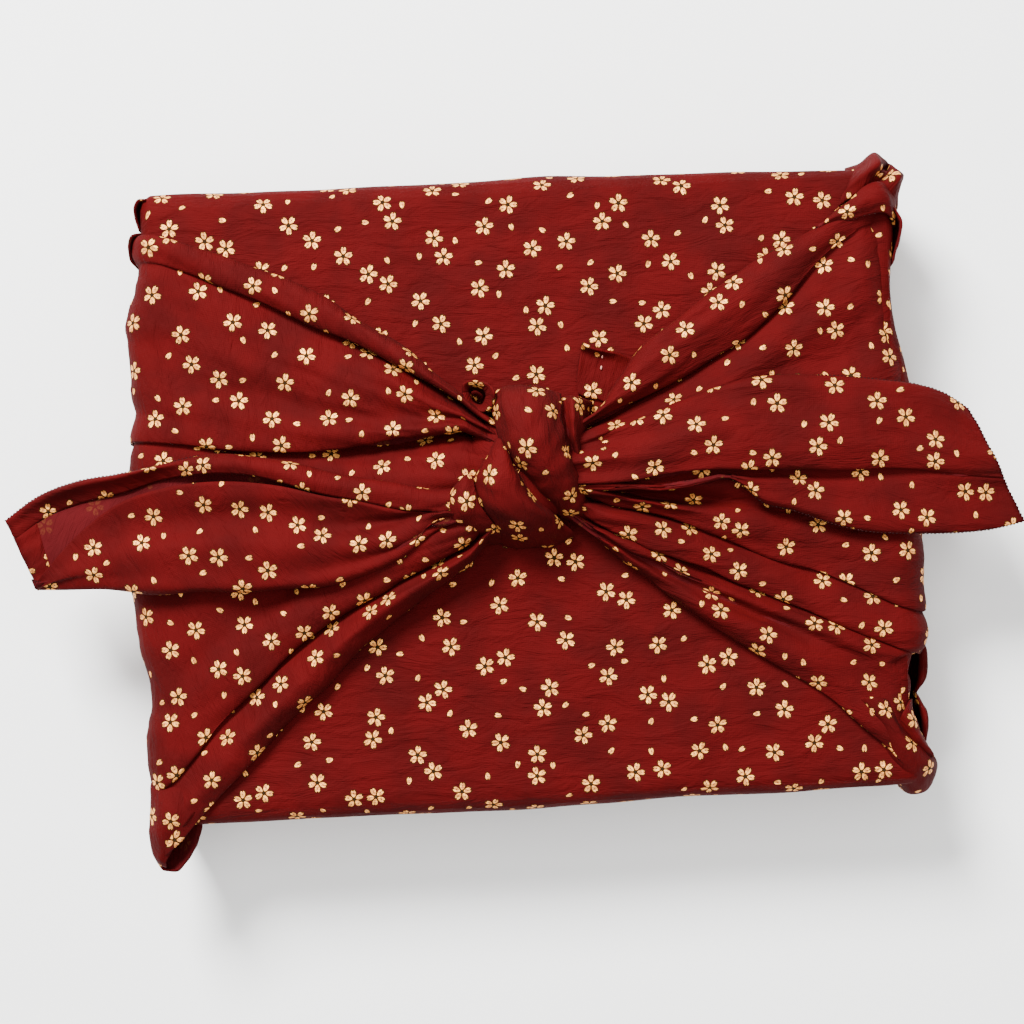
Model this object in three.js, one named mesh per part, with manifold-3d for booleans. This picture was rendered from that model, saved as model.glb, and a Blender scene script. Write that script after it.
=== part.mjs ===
// A square cotton wrapping cloth tied round a flat box (the box itself is not part of the model).
// The cloth lies under the parcel, rises over its four walls, its near and far corners are laid flat
// across the top, and its left and right corners are gathered into pleated fans and tied in one knot,
// whose two free ends lie out to the sides.
// Millimetres. +X runs along the parcel, +Y away to its far side, +Z up.
// The origin is the middle of the flat underside.

import * as THREE from 'three';
import { mergeVertices } from 'three/addons/utils/BufferGeometryUtils.js';
import Module from 'manifold-3d';

const wasm = await Module();
wasm.setup();

// ---------------------------------------------------------------- driving sizes

const LENGTH = 238;          // parcel, along X, over the cloth
const DEPTH = 192;           // parcel, along Y, over the cloth
const HEIGHT = 46;           // top of the cloth that lies flat on the parcel
const RIM = 6;               // radius of the top edge
const CORNER = 8;            // radius of the four upright corners
const CLOTH = 2.4;           // wall of the wrap: layers of cloth pressed together
const BELLY = 2;             // how far the walls swell at their middle
const SUNK = 1;              // how far an overlying fold is set into the cloth under it
const LAYER = 1.5;           // one folded layer of a free end
const KNOT = new THREE.Vector3(-3, 9, 60);
const KNOT_CORE = new THREE.Vector3(19, 21, 16);

const named = (columns, rows) =>
  rows.map((row) => Object.fromEntries(columns.map((column, i) => [column, row[i]])));

// Folds of the two fans, listed from the far side to the near side.
// Each one runs from the rim of the parcel, over a point halfway, to the knot:
// the y of its line at those three places, and its height above the parcel's top there.
const FOLD = ['rimY', 'midY', 'knotY', 'rimRise', 'midRise', 'knotRise'];

const LEFT_FOLDS = named(FOLD, [
  [85, 69, 32, -1, -1, -1],        // far edge, tucked under
  [87, 71, 34, 1.2, 2.5, 7],       // turned edge
  [84, 65, 32, 2.6, 7.5, 16],      // first ridge
  [78, 57, 28, 2.2, 2, 9],         // crease under it
  [73, 53, 27, 2.4, 5, 14],
  [61, 42, 25, 3, 6.5, 18],        // broad panel
  [45, 30, 23, 2, 4, 15],
  [26, 23, 21, 3, 7, 18],          // second ridge
  [17, 14, 17, 1.6, 1.2, 8],       // deep crease
  [8, 6, 13, 2.4, 5, 15],
  [-22, -17, 3, 3, 6, 17],         // third ridge, partly under the free end
  [-58, -22, -2, 2, 4, 12],
  [-70, -29, -5, 3, 7.5, 16],      // fourth ridge
  [-88, -39, -11, 1.8, 1.2, 6],    // deep crease
  [-92, -47, -15, 2.6, 8, 14],     // last ridge
  [-95, -56, -20, 1.2, 2.5, 6],    // turned near edge
  [-94, -54, -18, -1, -1, -1],     // near edge, tucked under
]);

const RIGHT_FOLDS = named(FOLD, [
  [87, 64.5, 24, -1, -1, -1],
  [89, 66.5, 26, 1.2, 2.5, 7],
  [85, 61, 24, 2.8, 7.5, 16],
  [81, 51, 21, 2.2, 5, 14],
  [77, 47, 19, 1.6, 1.2, 10],      // long valley
  [70, 43, 18, 2.6, 6, 15],
  [40, 30, 15, 3, 6, 17],
  [10, 8, 8, 2.2, 4, 14],
  [-20, -12, 3, 3, 6, 16],
  [-36, -21, 0, 1.6, 1.8, 9],      // dark crease under the free end
  [-44, -25, -2, 2.6, 5.5, 14],
  [-56, -33, -5, 1.8, 1.4, 7],     // crease between the pleats
  [-60, -37, -7, 2.6, 6, 12],
  [-66, -41.5, -9, 2, 2.2, 6],     // crease
  [-78, -46, -10, 3, 6, 10],       // last pleat
  [-92, -52, -12, 1.2, 2, 5],
  [-90, -50, -10, -1, -1, -1],
]);

// ---------------------------------------------------------------- shapes from rings

// A closed solid through rings of equal length; its two ends are closed flat.
function loft(rings) {
  const count = rings[0].length;
  const points = rings.flat();
  const faces = [];
  for (let r = 0; r + 1 < rings.length; r += 1) {
    for (let i = 0; i < count; i += 1) {
      const j = (i + 1) % count;
      const a = r * count + i;
      const b = r * count + j;
      faces.push([a, b, b + count], [a, b + count, a + count]);
    }
  }
  const ends = [[0, false], [(rings.length - 1) * count, true]];
  for (const [start, flip] of ends) {
    for (const [a, b, c] of capFaces(points.slice(start, start + count))) {
      faces.push(flip ? [start + a, start + b, start + c] : [start + c, start + b, start + a]);
    }
  }
  return solidFrom(points, faces);
}

// Triangles that close a flat ring, wound the way the ring runs.
function capFaces(ring) {
  const normal = new THREE.Vector3();
  ring.forEach((p, i) => normal.add(p.clone().cross(ring[(i + 1) % ring.length])));
  normal.normalize();
  const helper = Math.abs(normal.x) < 0.9 ? new THREE.Vector3(1, 0, 0) : new THREE.Vector3(0, 1, 0);
  const u = helper.cross(normal).normalize();
  const v = normal.clone().cross(u);
  const flat = ring.map((p) => new THREE.Vector2(p.dot(u), p.dot(v)));
  return THREE.ShapeUtils.triangulateShape(flat, []);
}

function solidFrom(points, faces) {
  let volume = 0;
  for (const [a, b, c] of faces) {
    volume += points[a].dot(points[b].clone().cross(points[c]));
  }
  const outward = volume > 0 ? faces : faces.map(([a, b, c]) => [a, c, b]);
  const geometry = new THREE.BufferGeometry().setFromPoints(points);
  geometry.setIndex(outward.flat());
  return toManifold(geometry);
}

function toManifold(source) {
  const bare = source.clone();
  bare.deleteAttribute('normal');
  bare.deleteAttribute('uv');
  const merged = mergeVertices(bare, 1e-4);
  return new wasm.Manifold(new wasm.Mesh({
    numProp: 3,
    vertProperties: new Float32Array(merged.attributes.position.array),
    triVerts: new Uint32Array(merged.index.array),
  }));
}

function toGeometry(solid) {
  const mesh = solid.getMesh();
  const geometry = new THREE.BufferGeometry();
  geometry.setAttribute('position', new THREE.BufferAttribute(new Float32Array(mesh.vertProperties), 3));
  geometry.setIndex(new THREE.BufferAttribute(new Uint32Array(mesh.triVerts), 1));
  return geometry;
}

const lerp = THREE.MathUtils.lerp;
const clamp = THREE.MathUtils.clamp;

// The parabola through three values at 0, the middle place and 1.
function through(first, middle, last, at, middlePlace = 0.5) {
  const a = ((at - middlePlace) * (at - 1)) / middlePlace;
  const b = (at * (at - 1)) / (middlePlace * (middlePlace - 1));
  const c = (at * (at - middlePlace)) / (1 - middlePlace);
  return a * first + b * middle + c * last;
}

// ---------------------------------------------------------------- cloth round the parcel

const SIDE_STEPS = 7;
const CORNER_STEPS = 3;

// A level ring round the parcel, drawn in by inset all round.
function parcelRing({ z, inset }, grow = 0) {
  const halfX = LENGTH / 2 - inset - grow - LAYER;
  const halfY = DEPTH / 2 - inset - grow - LAYER;
  const radius = Math.max(CORNER - grow, 1) * clamp(halfY / (DEPTH / 2), 0.3, 1);
  const swell = inset > RIM ? 0 : BELLY * Math.sin((Math.PI * z) / HEIGHT);
  const corners = [[1, 1, 0], [-1, 1, 90], [-1, -1, 180], [1, -1, 270]];
  const ring = [];
  corners.forEach(([sx, sy, start], corner) => {
    const centre = [sx * (halfX - radius), sy * (halfY - radius)];
    for (let i = 0; i <= CORNER_STEPS; i += 1) {
      const angle = THREE.MathUtils.degToRad(start + (90 * i) / CORNER_STEPS);
      ring.push([centre[0] + radius * Math.cos(angle), centre[1] + radius * Math.sin(angle)]);
    }
    const next = corners[(corner + 1) % 4];
    const from = ring[ring.length - 1];
    const turn = THREE.MathUtils.degToRad(next[2]);
    const to = [
      next[0] * (halfX - radius) + radius * Math.cos(turn),
      next[1] * (halfY - radius) + radius * Math.sin(turn),
    ];
    for (let i = 1; i < SIDE_STEPS; i += 1) {
      const along = i / SIDE_STEPS;
      const out = swell * Math.sin(Math.PI * along);
      ring.push([
        lerp(from[0], to[0], along) + out * Math.cos(turn),
        lerp(from[1], to[1], along) + out * Math.sin(turn),
      ]);
    }
  });
  return ring.map(([x, y]) => new THREE.Vector3(x, y, z));
}

const OUTSIDE = named(['z', 'inset'], [
  [0, 4], [1.2, 1.2], [4, 0], [14, 0], [28, 0], [40, 0], [43.8, 1], [45.4, 2.8], [46, 6.5],
  [46.4, 35], [46.8, 72],
]);

const INSIDE = named(['z', 'inset'], [
  [CLOTH, 4], [5, 0.5], [14, 0], [28, 0], [39, 0], [42.4, 2], [43.4, 7],
]);

function wrappedParcel() {
  return loft(OUTSIDE.map((level) => parcelRing(level)));
}

function hollow() {
  return loft(INSIDE.map((level) => parcelRing(level, CLOTH)));
}

// ---------------------------------------------------------------- gathered fans

const KNOT_EDGE = 20;        // distance from the middle where the folds reach the knot
const HALFWAY = 70;          // distance from the middle of the halfway places
const SPLITS = 2;            // steps from one fold to the next across a fan
const WALL_SHARE = 0.92;     // width of a fan on the wall, as a share of its width at the rim

// The places where a fan is cut across: up the wall, over the rim, in to the knot.
function fanStations() {
  const wallX = LENGTH / 2 - LAYER;
  const stations = [3, 15, 27, HEIGHT - RIM].map((z) => ({
    x: wallX, z, out: 1, up: 0, down: (HEIGHT - RIM - z) / (HEIGHT - RIM), across: 0,
  }));
  for (const degrees of [30, 60, 90]) {
    const angle = THREE.MathUtils.degToRad(degrees);
    stations.push({
      x: wallX - RIM + RIM * Math.cos(angle),
      z: HEIGHT - RIM + RIM * Math.sin(angle),
      out: Math.cos(angle),
      up: Math.sin(angle),
      down: 0,
      across: 0,
    });
  }
  for (const x of [102, 90, 80, 70, 60, 50, 40, 30, 20, 8]) {
    stations.push({ x, z: HEIGHT, out: 0, up: 1, down: 0, across: (LENGTH / 2 - x) / (LENGTH / 2 - KNOT_EDGE) });
  }
  return stations;
}

const MIDDLE_PLACE = (LENGTH / 2 - HALFWAY) / (LENGTH / 2 - KNOT_EDGE);

// One fold's place and rise at a station.
function foldAt(fold, station) {
  const across = Math.min(station.across, 1);
  const inner = Math.max(station.across - 1, 0);
  const y = through(fold.rimY, fold.midY, fold.knotY, across, MIDDLE_PLACE);
  const rise = through(fold.rimRise, fold.midRise, fold.knotRise, across, MIDDLE_PLACE);
  return {
    y: lerp(y * lerp(1, WALL_SHARE, station.out), KNOT.y, inner * 4),
    rise: lerp(rise, Math.min(rise, 0.6), station.down),
  };
}

// The folds of one station, with smooth steps between them.
function foldedEdge(folds, station) {
  const places = folds.map((fold) => foldAt(fold, station));
  const curve = new THREE.CatmullRomCurve3(
    places.map(({ y, rise }) => new THREE.Vector3(0, y, rise)), false, 'centripetal',
  );
  const steps = (folds.length - 1) * SPLITS;
  const edge = [];
  for (let i = 0; i <= steps; i += 1) {
    edge.push(curve.getPoint(i / steps));
  }
  return edge;
}

function fan(side, folds) {
  const rings = fanStations().map((station) => {
    const sunk = foldAt(folds[0], station);
    return foldedEdge(folds, station).map(({ y, z: rise }, i, all) => {
      const height = i === 0 || i === all.length - 1 ? -SUNK : Math.max(rise, sunk.rise);
      return new THREE.Vector3(
        side * (station.x + station.out * height), y, station.z + station.up * height,
      );
    });
  });
  return loft(rings);
}

// ---------------------------------------------------------------- bands: knot turns and ears

const BAND_SIDES = 12;

// A flattened strip of gathered cloth swept along its stations, its flat side facing away from hub.
function band(stations, hub, steps = 12) {
  const path = new THREE.CatmullRomCurve3(stations.map(({ x, y, z }) => new THREE.Vector3(x, y, z)));
  const size = new THREE.CatmullRomCurve3(
    stations.map(({ width, thick }) => new THREE.Vector3(width, thick, 0)),
  );
  const rings = [];
  for (let s = 0; s <= steps; s += 1) {
    const at = s / steps;
    const place = path.getPoint(at);
    const along = path.getTangent(at);
    const away = place.clone().sub(hub);
    away.addScaledVector(along, -away.dot(along)).normalize();
    const across = along.clone().cross(away);
    const { x: width, y: thick } = size.getPoint(at);
    const ring = [];
    for (let i = 0; i < BAND_SIDES; i += 1) {
      const angle = (2 * Math.PI * i) / BAND_SIDES;
      ring.push(place.clone()
        .addScaledVector(across, (width / 2) * Math.cos(angle))
        .addScaledVector(away, (thick / 2) * Math.sin(angle)));
    }
    rings.push(ring);
  }
  return loft(rings);
}

const STRIP = ['x', 'y', 'z', 'width', 'thick'];

// The turns of the knot: the strip that crosses it, the turn under that, the loop at its left,
// the gathered neck at its right and the short fold that stands up behind it at the left.
const KNOT_TURNS = [
  named(STRIP, [
    [-4, 28, 53, 15, 9], [-3, 25, 65, 18, 10], [1, 17, 73, 19, 11], [5, 8, 74, 18, 11],
    [9, -1, 69, 17, 10], [12, -7, 58, 14, 9],
  ]),
  named(STRIP, [
    [-12, 20, 60, 11, 8], [-11, 12, 69, 15, 9], [-7, 2, 70, 20, 10], [-3, -7, 63, 24, 10],
    [0, -11, 53, 22, 9],
  ]),
  named(STRIP, [
    [-14, 12, 62, 10, 8], [-20, 5, 65, 14, 10], [-22, -3, 61, 15, 10], [-17, -9, 53, 14, 9],
  ]),
  named(STRIP, [
    [9, 27, 53, 11, 8], [11, 22, 63, 13, 10], [15, 12, 66, 13, 10], [17, 3, 61, 12, 9],
    [16, -4, 53, 10, 8],
  ]),
  named(STRIP, [
    [-8, 22, 58, 9, 7], [-12, 28, 60, 10, 8], [-14, 33, 61, 9, 8],
  ]),
];

// The hollow end of the fold that stands up behind the knot.
const FOLD_MOUTH = named(STRIP, [
  [-12, 28, 61, 4, 3], [-14, 31, 62, 6, 5], [-15, 36, 63, 7, 6],
]);

function knot() {
  const core = new THREE.SphereGeometry(1, 18, 12);
  core.scale(KNOT_CORE.x, KNOT_CORE.y, KNOT_CORE.z);
  core.translate(KNOT.x, KNOT.y, KNOT.z);
  const hub = KNOT.clone().setZ(KNOT.z - 8);
  const turns = KNOT_TURNS.reduce((all, turn) => all.add(band(turn, hub)), toManifold(core));
  return turns.subtract(band(FOLD_MOUTH, hub, 5));
}

// The ears: the spare cloth of each corner, folded out over the rim and down the upright edge.
const EARS = [
  named(STRIP, [
    [-94, -72, 46, 8, 2], [-103, -84, 48, 14, 6], [-110, -93, 45, 14, 12], [-113, -97, 37, 12, 17],
    [-115, -94, 26, 10, 13], [-116, -92, 14, 8, 8], [-116, -91, 4, 5, 3],
  ]),
  named(STRIP, [
    [-100, 80, 45, 7, 2], [-109, 86, 47, 9, 5], [-114, 89, 43, 9, 9], [-116, 90, 33, 8, 9],
    [-117, 91, 18, 7, 6], [-117, 91, 5, 5, 3],
  ]),
  named(STRIP, [
    [84, 74, 47, 8, 3], [97, 85, 50, 12, 6], [106, 92, 47, 13, 11], [111, 94, 39, 11, 14],
    [114, 93, 28, 9, 10], [116, 92, 14, 7, 6], [116, 91, 5, 5, 3],
  ]),
  named(STRIP, [
    [90, -64, 47, 9, 3], [103, -76, 50, 14, 7], [111, -84, 46, 15, 12], [114, -88, 37, 14, 15],
    [115, -90, 26, 11, 11], [116, -91, 12, 7, 7], [116, -91, 4, 5, 3],
  ]),
];

const EAR_HUB = new THREE.Vector3(85, 65, 15);

function ear(stations) {
  const { x, y } = stations[stations.length - 1];
  const hub = new THREE.Vector3(Math.sign(x) * EAR_HUB.x, Math.sign(y) * EAR_HUB.y, EAR_HUB.z);
  return band(stations, hub, 14);
}

// The slit between the layers of the near left ear, curved, into the space that the cloth wraps.
const EAR_SLIT = named(STRIP, [
  [-102, -82, 37, 11, 2.6], [-108, -90, 40, 10, 2.6], [-113, -98, 40, 8, 2.6],
  [-117, -106, 34, 7, 2.6], [-119, -113, 27, 6, 2.6],
]);

// ---------------------------------------------------------------- free ends

// A free end is one strip folded lengthwise: a lower layer and a front layer that lies back over it.
// Stations run out from the knot. x is the station's place, back and front are the edges of the
// two layers, fold is the turned edge they share, z the height of the lower layer, open the gap,
// and lead how far the lower layer's edge runs ahead of the turned one.
const END = ['x', 'back', 'front', 'fold', 'z', 'open', 'lead'];

const LEFT_END = named(END, [
  [-15, 9, 7, -5, 58, 3, 0], [-28, 10, 8, -9, 57, 3.5, 0], [-42, 11, 9, -18, 55, 4, 0],
  [-60, 13, 11, -24, 52.5, 4.5, 0], [-78, 16.5, 12, -25.5, 51, 4.5, 0],
  [-100, 17.5, 11, -24.5, 50.5, 4, 0], [-116, 15.5, 9, -23.5, 50.5, 3.5, 0],
  [-126, 13, 5, -22.8, 49.5, 3, -1], [-136, 11, -3, -22.3, 48, 2.4, -3],
  [-146, 7, -13, -21.8, 46, 2, -6], [-154, 2, -16.5, -21.3, 44, 1.6, -9],
]);

const RIGHT_END = named(END, [
  [14, 1, 4, 20, 58, 3, 0], [33, 1, 3, 27, 56, 3.5, 0], [50, 1.5, 4, 32, 53.5, 4, 0],
  [66, -1, 6.5, 34, 51.5, 4, 0], [84, -11, 6, 34, 51, 4, 0], [104, -16.5, 3.5, 32, 50.5, 3.5, 0],
  [120, -17.4, 0, 29, 49.5, 3, 0], [133, -17.8, -5, 22.5, 48, 2.4, 0],
  [142, -16.5, -8, 8.5, 46.5, 2, 0], [149, -15.2, -12, -3.5, 45, 1.6, 0],
]);

function freeEnd(stations) {
  const rings = stations.map(({ x, back, front, fold, z, open, lead }) => {
    const turn = Math.sign(back - fold) * LAYER;
    const at = (y, height) => new THREE.Vector3(x + (lead * (y - fold)) / (back - fold), y, z + height);
    const gap = LAYER + open;
    const top = gap + LAYER;
    const lower = lerp(fold, back, 0.5);
    const upper = lerp(fold, front, 0.5);
    return [
      at(back, 0), at(back, LAYER), at(lower, LAYER), at(fold + turn * 1.2, LAYER),
      at(fold + turn * 0.9, LAYER + open / 2), at(fold + turn * 1.2, gap), at(upper, gap),
      at(front, gap - open * 0.2), at(front, top - open * 0.2), at(upper, top),
      at(fold + turn, top), at(fold, top * 0.65), at(fold, top * 0.35), at(fold + turn, 0),
      at(lower, 0),
    ];
  });
  return loft(rings);
}

// The corner of the near flap, which stands out from under the far side of the knot.
const FLAP_CORNER = named(STRIP, [
  [20, 24, 50, 14, 3], [21, 35, 51, 14, 3], [19, 46, 50, 4, 2.4],
]);

const UNDER_TOP = new THREE.Vector3(20, 35, 0);

// ---------------------------------------------------------------- the wrap

function furoshiki() {
  const pieces = [
    fan(-1, LEFT_FOLDS),
    fan(1, RIGHT_FOLDS),
    knot(),
    freeEnd(LEFT_END),
    freeEnd(RIGHT_END),
    band(FLAP_CORNER, UNDER_TOP, 6),
    ...EARS.map(ear),
  ];
  const whole = pieces.reduce((all, piece) => all.add(piece), wrappedParcel());
  const open = whole.subtract(hollow()).subtract(ear(EAR_SLIT));
  // Small pockets that the knot closes off are left filled: only the outer body is kept.
  return open.decompose().sort((a, b) => b.volume() - a.volume())[0];
}

const cotton = new THREE.MeshStandardMaterial({
  color: 0x82121a,
  roughness: 0.8,
  metalness: 0,
});

const cloth = new THREE.Mesh(toGeometry(furoshiki()), cotton);
cloth.name = 'furoshiki_cloth';

const wrap = new THREE.Group();
wrap.add(cloth);

export default wrap;
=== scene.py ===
import math

import bpy
import numpy as np
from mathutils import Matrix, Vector


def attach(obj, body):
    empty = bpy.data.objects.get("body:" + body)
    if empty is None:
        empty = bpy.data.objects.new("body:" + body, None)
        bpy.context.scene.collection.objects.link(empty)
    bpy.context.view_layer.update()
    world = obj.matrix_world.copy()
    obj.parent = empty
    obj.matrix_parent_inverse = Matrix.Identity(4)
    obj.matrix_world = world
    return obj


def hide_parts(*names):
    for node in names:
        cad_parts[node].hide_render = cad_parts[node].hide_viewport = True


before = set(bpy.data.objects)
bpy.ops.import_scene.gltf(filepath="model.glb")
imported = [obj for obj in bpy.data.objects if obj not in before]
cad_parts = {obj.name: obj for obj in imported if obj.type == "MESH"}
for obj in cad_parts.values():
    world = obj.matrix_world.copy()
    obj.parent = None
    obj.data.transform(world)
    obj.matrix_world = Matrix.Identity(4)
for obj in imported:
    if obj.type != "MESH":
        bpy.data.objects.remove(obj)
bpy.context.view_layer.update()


# ---------------------------------------------------------------- studio
# A camera straight over the parcel, a pale floor that it stands on, and soft light from all round.
# The parcel lies turned a little to the left, so the camera is turned the other way.

VIEW_CENTRE = (-0.0061, -0.0041)
VIEW_WIDTH = 0.3174            # seen at the height of the parcel's top
VIEW_TURN = math.radians(-2.8)
PARCEL_TOP = 0.046
CAMERA_HEIGHT = 0.87


def placed(name, data):
    """A new object in the scene, at the origin until it is moved."""
    thing = bpy.data.objects.new(name, data)
    bpy.context.scene.collection.objects.link(thing)
    return thing


def finish(name, colour, roughness=0.7, specular=0.5):
    material = bpy.data.materials.new(name)
    material.use_nodes = True
    shader = material.node_tree.nodes["Principled BSDF"]
    shader.inputs["Base Color"].default_value = (*colour, 1)
    shader.inputs["Roughness"].default_value = roughness
    shader.inputs["Specular IOR Level"].default_value = specular
    return material


camera_data = bpy.data.cameras.new("camera")
camera_data.sensor_width = 36
camera_data.lens = camera_data.sensor_width * (CAMERA_HEIGHT - PARCEL_TOP) / VIEW_WIDTH
camera_data.clip_start = 0.05
camera = placed("camera", camera_data)
camera.location = (*VIEW_CENTRE, CAMERA_HEIGHT)
camera.rotation_euler = (0, 0, VIEW_TURN)
bpy.context.scene.camera = camera

LAMPS = (
    # name, place, size, watts
    ("light_far_left", (-0.45, 0.9, 1.1), 0.5, 85),
    ("light_near_right", (0.8, -0.7, 1.0), 1.2, 6),
    ("light_over", (0.0, 0.1, 1.8), 1.4, 26),
)
LAMPS_AIM = Vector((0, 0, 0.03))
for name, place, size, watts in LAMPS:
    light = bpy.data.lights.new(name, "AREA")
    light.shape = "SQUARE"
    light.size = size
    light.energy = watts
    holder = placed(name, light)
    holder.location = place
    holder.rotation_euler = (LAMPS_AIM - Vector(place)).to_track_quat("-Z", "Y").to_euler()

world = bpy.data.worlds.new("studio")
world.use_nodes = True
world.node_tree.nodes["Background"].inputs["Color"].default_value = (1, 1, 1, 1)
world.node_tree.nodes["Background"].inputs["Strength"].default_value = 0.6
bpy.context.scene.world = world

FLOOR_REACH = 3.0
FLOOR_GAP = 0.0005             # the floor lies this far below the cloth
bpy.ops.mesh.primitive_plane_add(size=2 * FLOOR_REACH, location=(0, 0, -FLOOR_GAP))
floor = bpy.context.object
floor.name = "floor"
floor.data.materials.append(finish("floor_white", (0.96, 0.96, 0.95)))


# ---------------------------------------------------------------- cloth round the parcel
# One square of printed cotton, 68 cm a side. Here it goes under the parcel, up its four walls and,
# from the near and the far side, flat across the top. Every part of the cloth is added to one mesh.
# Sizes from here on are millimetres, until the mesh is made.

THICKNESS = 0.8                # one layer of the cotton, with the air that creases hold in it
PRINTED, BACK = 0, 1           # material places of the cloth's right side and wrong side

cloth_points, cloth_faces, cloth_flat, cloth_sides = [], [], [], []


def smooth(knots, values, at):
    """A smooth curve through values, one row of them at each knot, read at the given places."""
    knots = np.asarray(knots, float)
    values = np.asarray(values, float)
    at = np.clip(np.asarray(at, float), knots.min(), knots.max())
    slopes = np.gradient(values, knots, axis=0)
    first = np.clip(np.searchsorted(knots, at, side="right") - 1, 0, len(knots) - 2)
    span = knots[first + 1] - knots[first]
    shape = at.shape + (1,) * (values.ndim - 1)
    t = ((at - knots[first]) / span).reshape(shape)
    span = span.reshape(shape)
    return (
        (2 * t**3 - 3 * t**2 + 1) * values[first]
        + (t**3 - 2 * t**2 + t) * span * slopes[first]
        + (3 * t**2 - 2 * t**3) * values[first + 1]
        + (t**3 - t**2) * span * slopes[first + 1]
    )


def waves(places, length, seed, count=16):
    """Soft random undulation about -1 to 1; places are scaled so that its waves are length long."""
    draw = np.random.default_rng(seed)
    size = places.shape[-1]
    pulls = draw.normal(size=(count, size))
    pulls /= np.linalg.norm(pulls, axis=1, keepdims=True)
    pulls *= draw.uniform(0.6, 1.5, count)[:, None] * 2 * math.pi / length
    return np.sin(places @ pulls.T + draw.uniform(0, 2 * math.pi, count)).sum(-1) / math.sqrt(count)


def facing(grid):
    """Unit normals of a grid of points."""
    normal = np.cross(np.gradient(grid, axis=0), np.gradient(grid, axis=1))
    return normal / np.maximum(np.linalg.norm(normal, axis=-1, keepdims=True), 1e-9)


def run_along(grid, axis):
    """How far each row, or column, of a grid of points lies from the first, on average."""
    steps = np.linalg.norm(np.diff(grid, axis=axis), axis=2).mean(1 - axis)
    return np.concatenate([[0], np.cumsum(steps)])


PULL_RANGE = (0.05, 20)        # of an edge of a triangle, when cloth is laid out flat


def flatten(grid, start, most, rounds):
    """Lays a patch of cloth out flat: the flat places, in mm, that stretch it the least."""
    picks = [
        np.unique(np.linspace(0, length - 1, min(length, top)).round().astype(int))
        for length, top in zip(grid.shape[:2], most)
    ]
    solid = grid[np.ix_(*picks)]
    rows, columns = solid.shape[:2]
    number = np.arange(rows * columns).reshape(rows, columns)
    solid = solid.reshape(-1, 3)
    a, b = number[:-1, :-1].ravel(), number[1:, :-1].ravel()
    c, d = number[1:, 1:].ravel(), number[:-1, 1:].ravel()
    corners = np.concatenate([np.stack([a, b, c], 1), np.stack([a, c, d], 1)])
    one = solid[corners[:, 1]] - solid[corners[:, 0]]
    two = solid[corners[:, 2]] - solid[corners[:, 0]]
    width = np.maximum(np.linalg.norm(one, axis=1), 1e-6)
    over = (one * two).sum(1) / width
    rise = np.maximum(np.linalg.norm(np.cross(one, two), axis=1) / width, 1e-6)
    own = np.zeros((len(corners), 3, 2))
    own[:, 1, 0], own[:, 2, 0], own[:, 2, 1] = width, over, rise
    edges = []
    for i in range(3):
        j, k = (i + 1) % 3, (i + 2) % 3
        to_i, to_j = own[:, i] - own[:, k], own[:, j] - own[:, k]
        area = np.abs(to_i[:, 0] * to_j[:, 1] - to_i[:, 1] * to_j[:, 0])
        weight = np.clip((to_i * to_j).sum(1) / np.maximum(area, 1e-9), *PULL_RANGE)
        edges.append((corners[:, i], corners[:, j], weight, own[:, i] - own[:, j]))
    # The pulls between points form one block for each row, and one for each pair of next rows.
    own_row = np.zeros((rows, columns, columns))
    next_row = np.zeros((rows - 1, columns, columns))
    own_row[0, 0, 0] = 1
    for i, j, weight, _ in edges:
        for from_point, to_point in ((i, j), (j, i)):
            (row, at), (to_row, to) = divmod(from_point, columns), divmod(to_point, columns)
            np.add.at(own_row, (row, at, at), weight)
            for block, some in ((own_row, to_row == row), (next_row, to_row > row)):
                np.add.at(block, (row[some], at[some], to[some]), -weight[some])
    solve = [np.linalg.inv(own_row[0])]
    for r in range(1, rows):
        link = next_row[r - 1]
        solve.append(np.linalg.inv(own_row[r] - link.T @ solve[-1] @ link))
    flat = start[np.ix_(*picks)].reshape(-1, 2).copy()
    pinned = flat[0].copy()
    for _ in range(rounds):
        dot = cross = 0
        for i, j, weight, edge in edges:
            now = flat[i] - flat[j]
            dot = dot + weight * (edge * now).sum(1)
            cross = cross + weight * (edge[:, 0] * now[:, 1] - edge[:, 1] * now[:, 0])
        size = np.maximum(np.hypot(dot, cross), 1e-9)
        cos, sin = dot / size, cross / size
        wanted = np.zeros((len(solid), 2))
        for i, j, weight, edge in edges:
            turned = np.stack([cos * edge[:, 0] - sin * edge[:, 1], sin * edge[:, 0] + cos * edge[:, 1]], 1)
            turned *= weight[:, None]
            for k in (0, 1):
                wanted[:, k] += np.bincount(i, turned[:, k], len(solid))
                wanted[:, k] -= np.bincount(j, turned[:, k], len(solid))
        wanted[0] += pinned
        wanted = wanted.reshape(rows, columns, 2)
        for r in range(1, rows):
            wanted[r] -= next_row[r - 1].T @ (solve[r - 1] @ wanted[r - 1])
        wanted[-1] = solve[-1] @ wanted[-1]
        for r in range(rows - 2, -1, -1):
            wanted[r] = solve[r] @ (wanted[r] - next_row[r] @ wanted[r + 1])
        flat = wanted.reshape(-1, 2)
    flat = flat.reshape(rows, columns, 2)
    full = np.arange(grid.shape[0]), np.arange(grid.shape[1])
    half = np.stack([
        [np.interp(full[0], picks[0], flat[:, j, k]) for j in range(columns)] for k in (0, 1)
    ], -1)
    return np.stack([
        [np.interp(full[1], picks[1], half[:, i, k]) for i in range(grid.shape[0])] for k in (0, 1)
    ], -1)


def add_faces(points, faces, flat, side):
    """Adds points and faces to the cloth; flat gives each face's corners their flat places."""
    base = sum(len(part) for part in cloth_points)
    cloth_points.append(points)
    cloth_faces.extend([[base + corner for corner in face] for face in faces])
    cloth_flat.extend(flat)
    cloth_sides.extend([side] * len(faces) if isinstance(side, int) else side)


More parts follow.
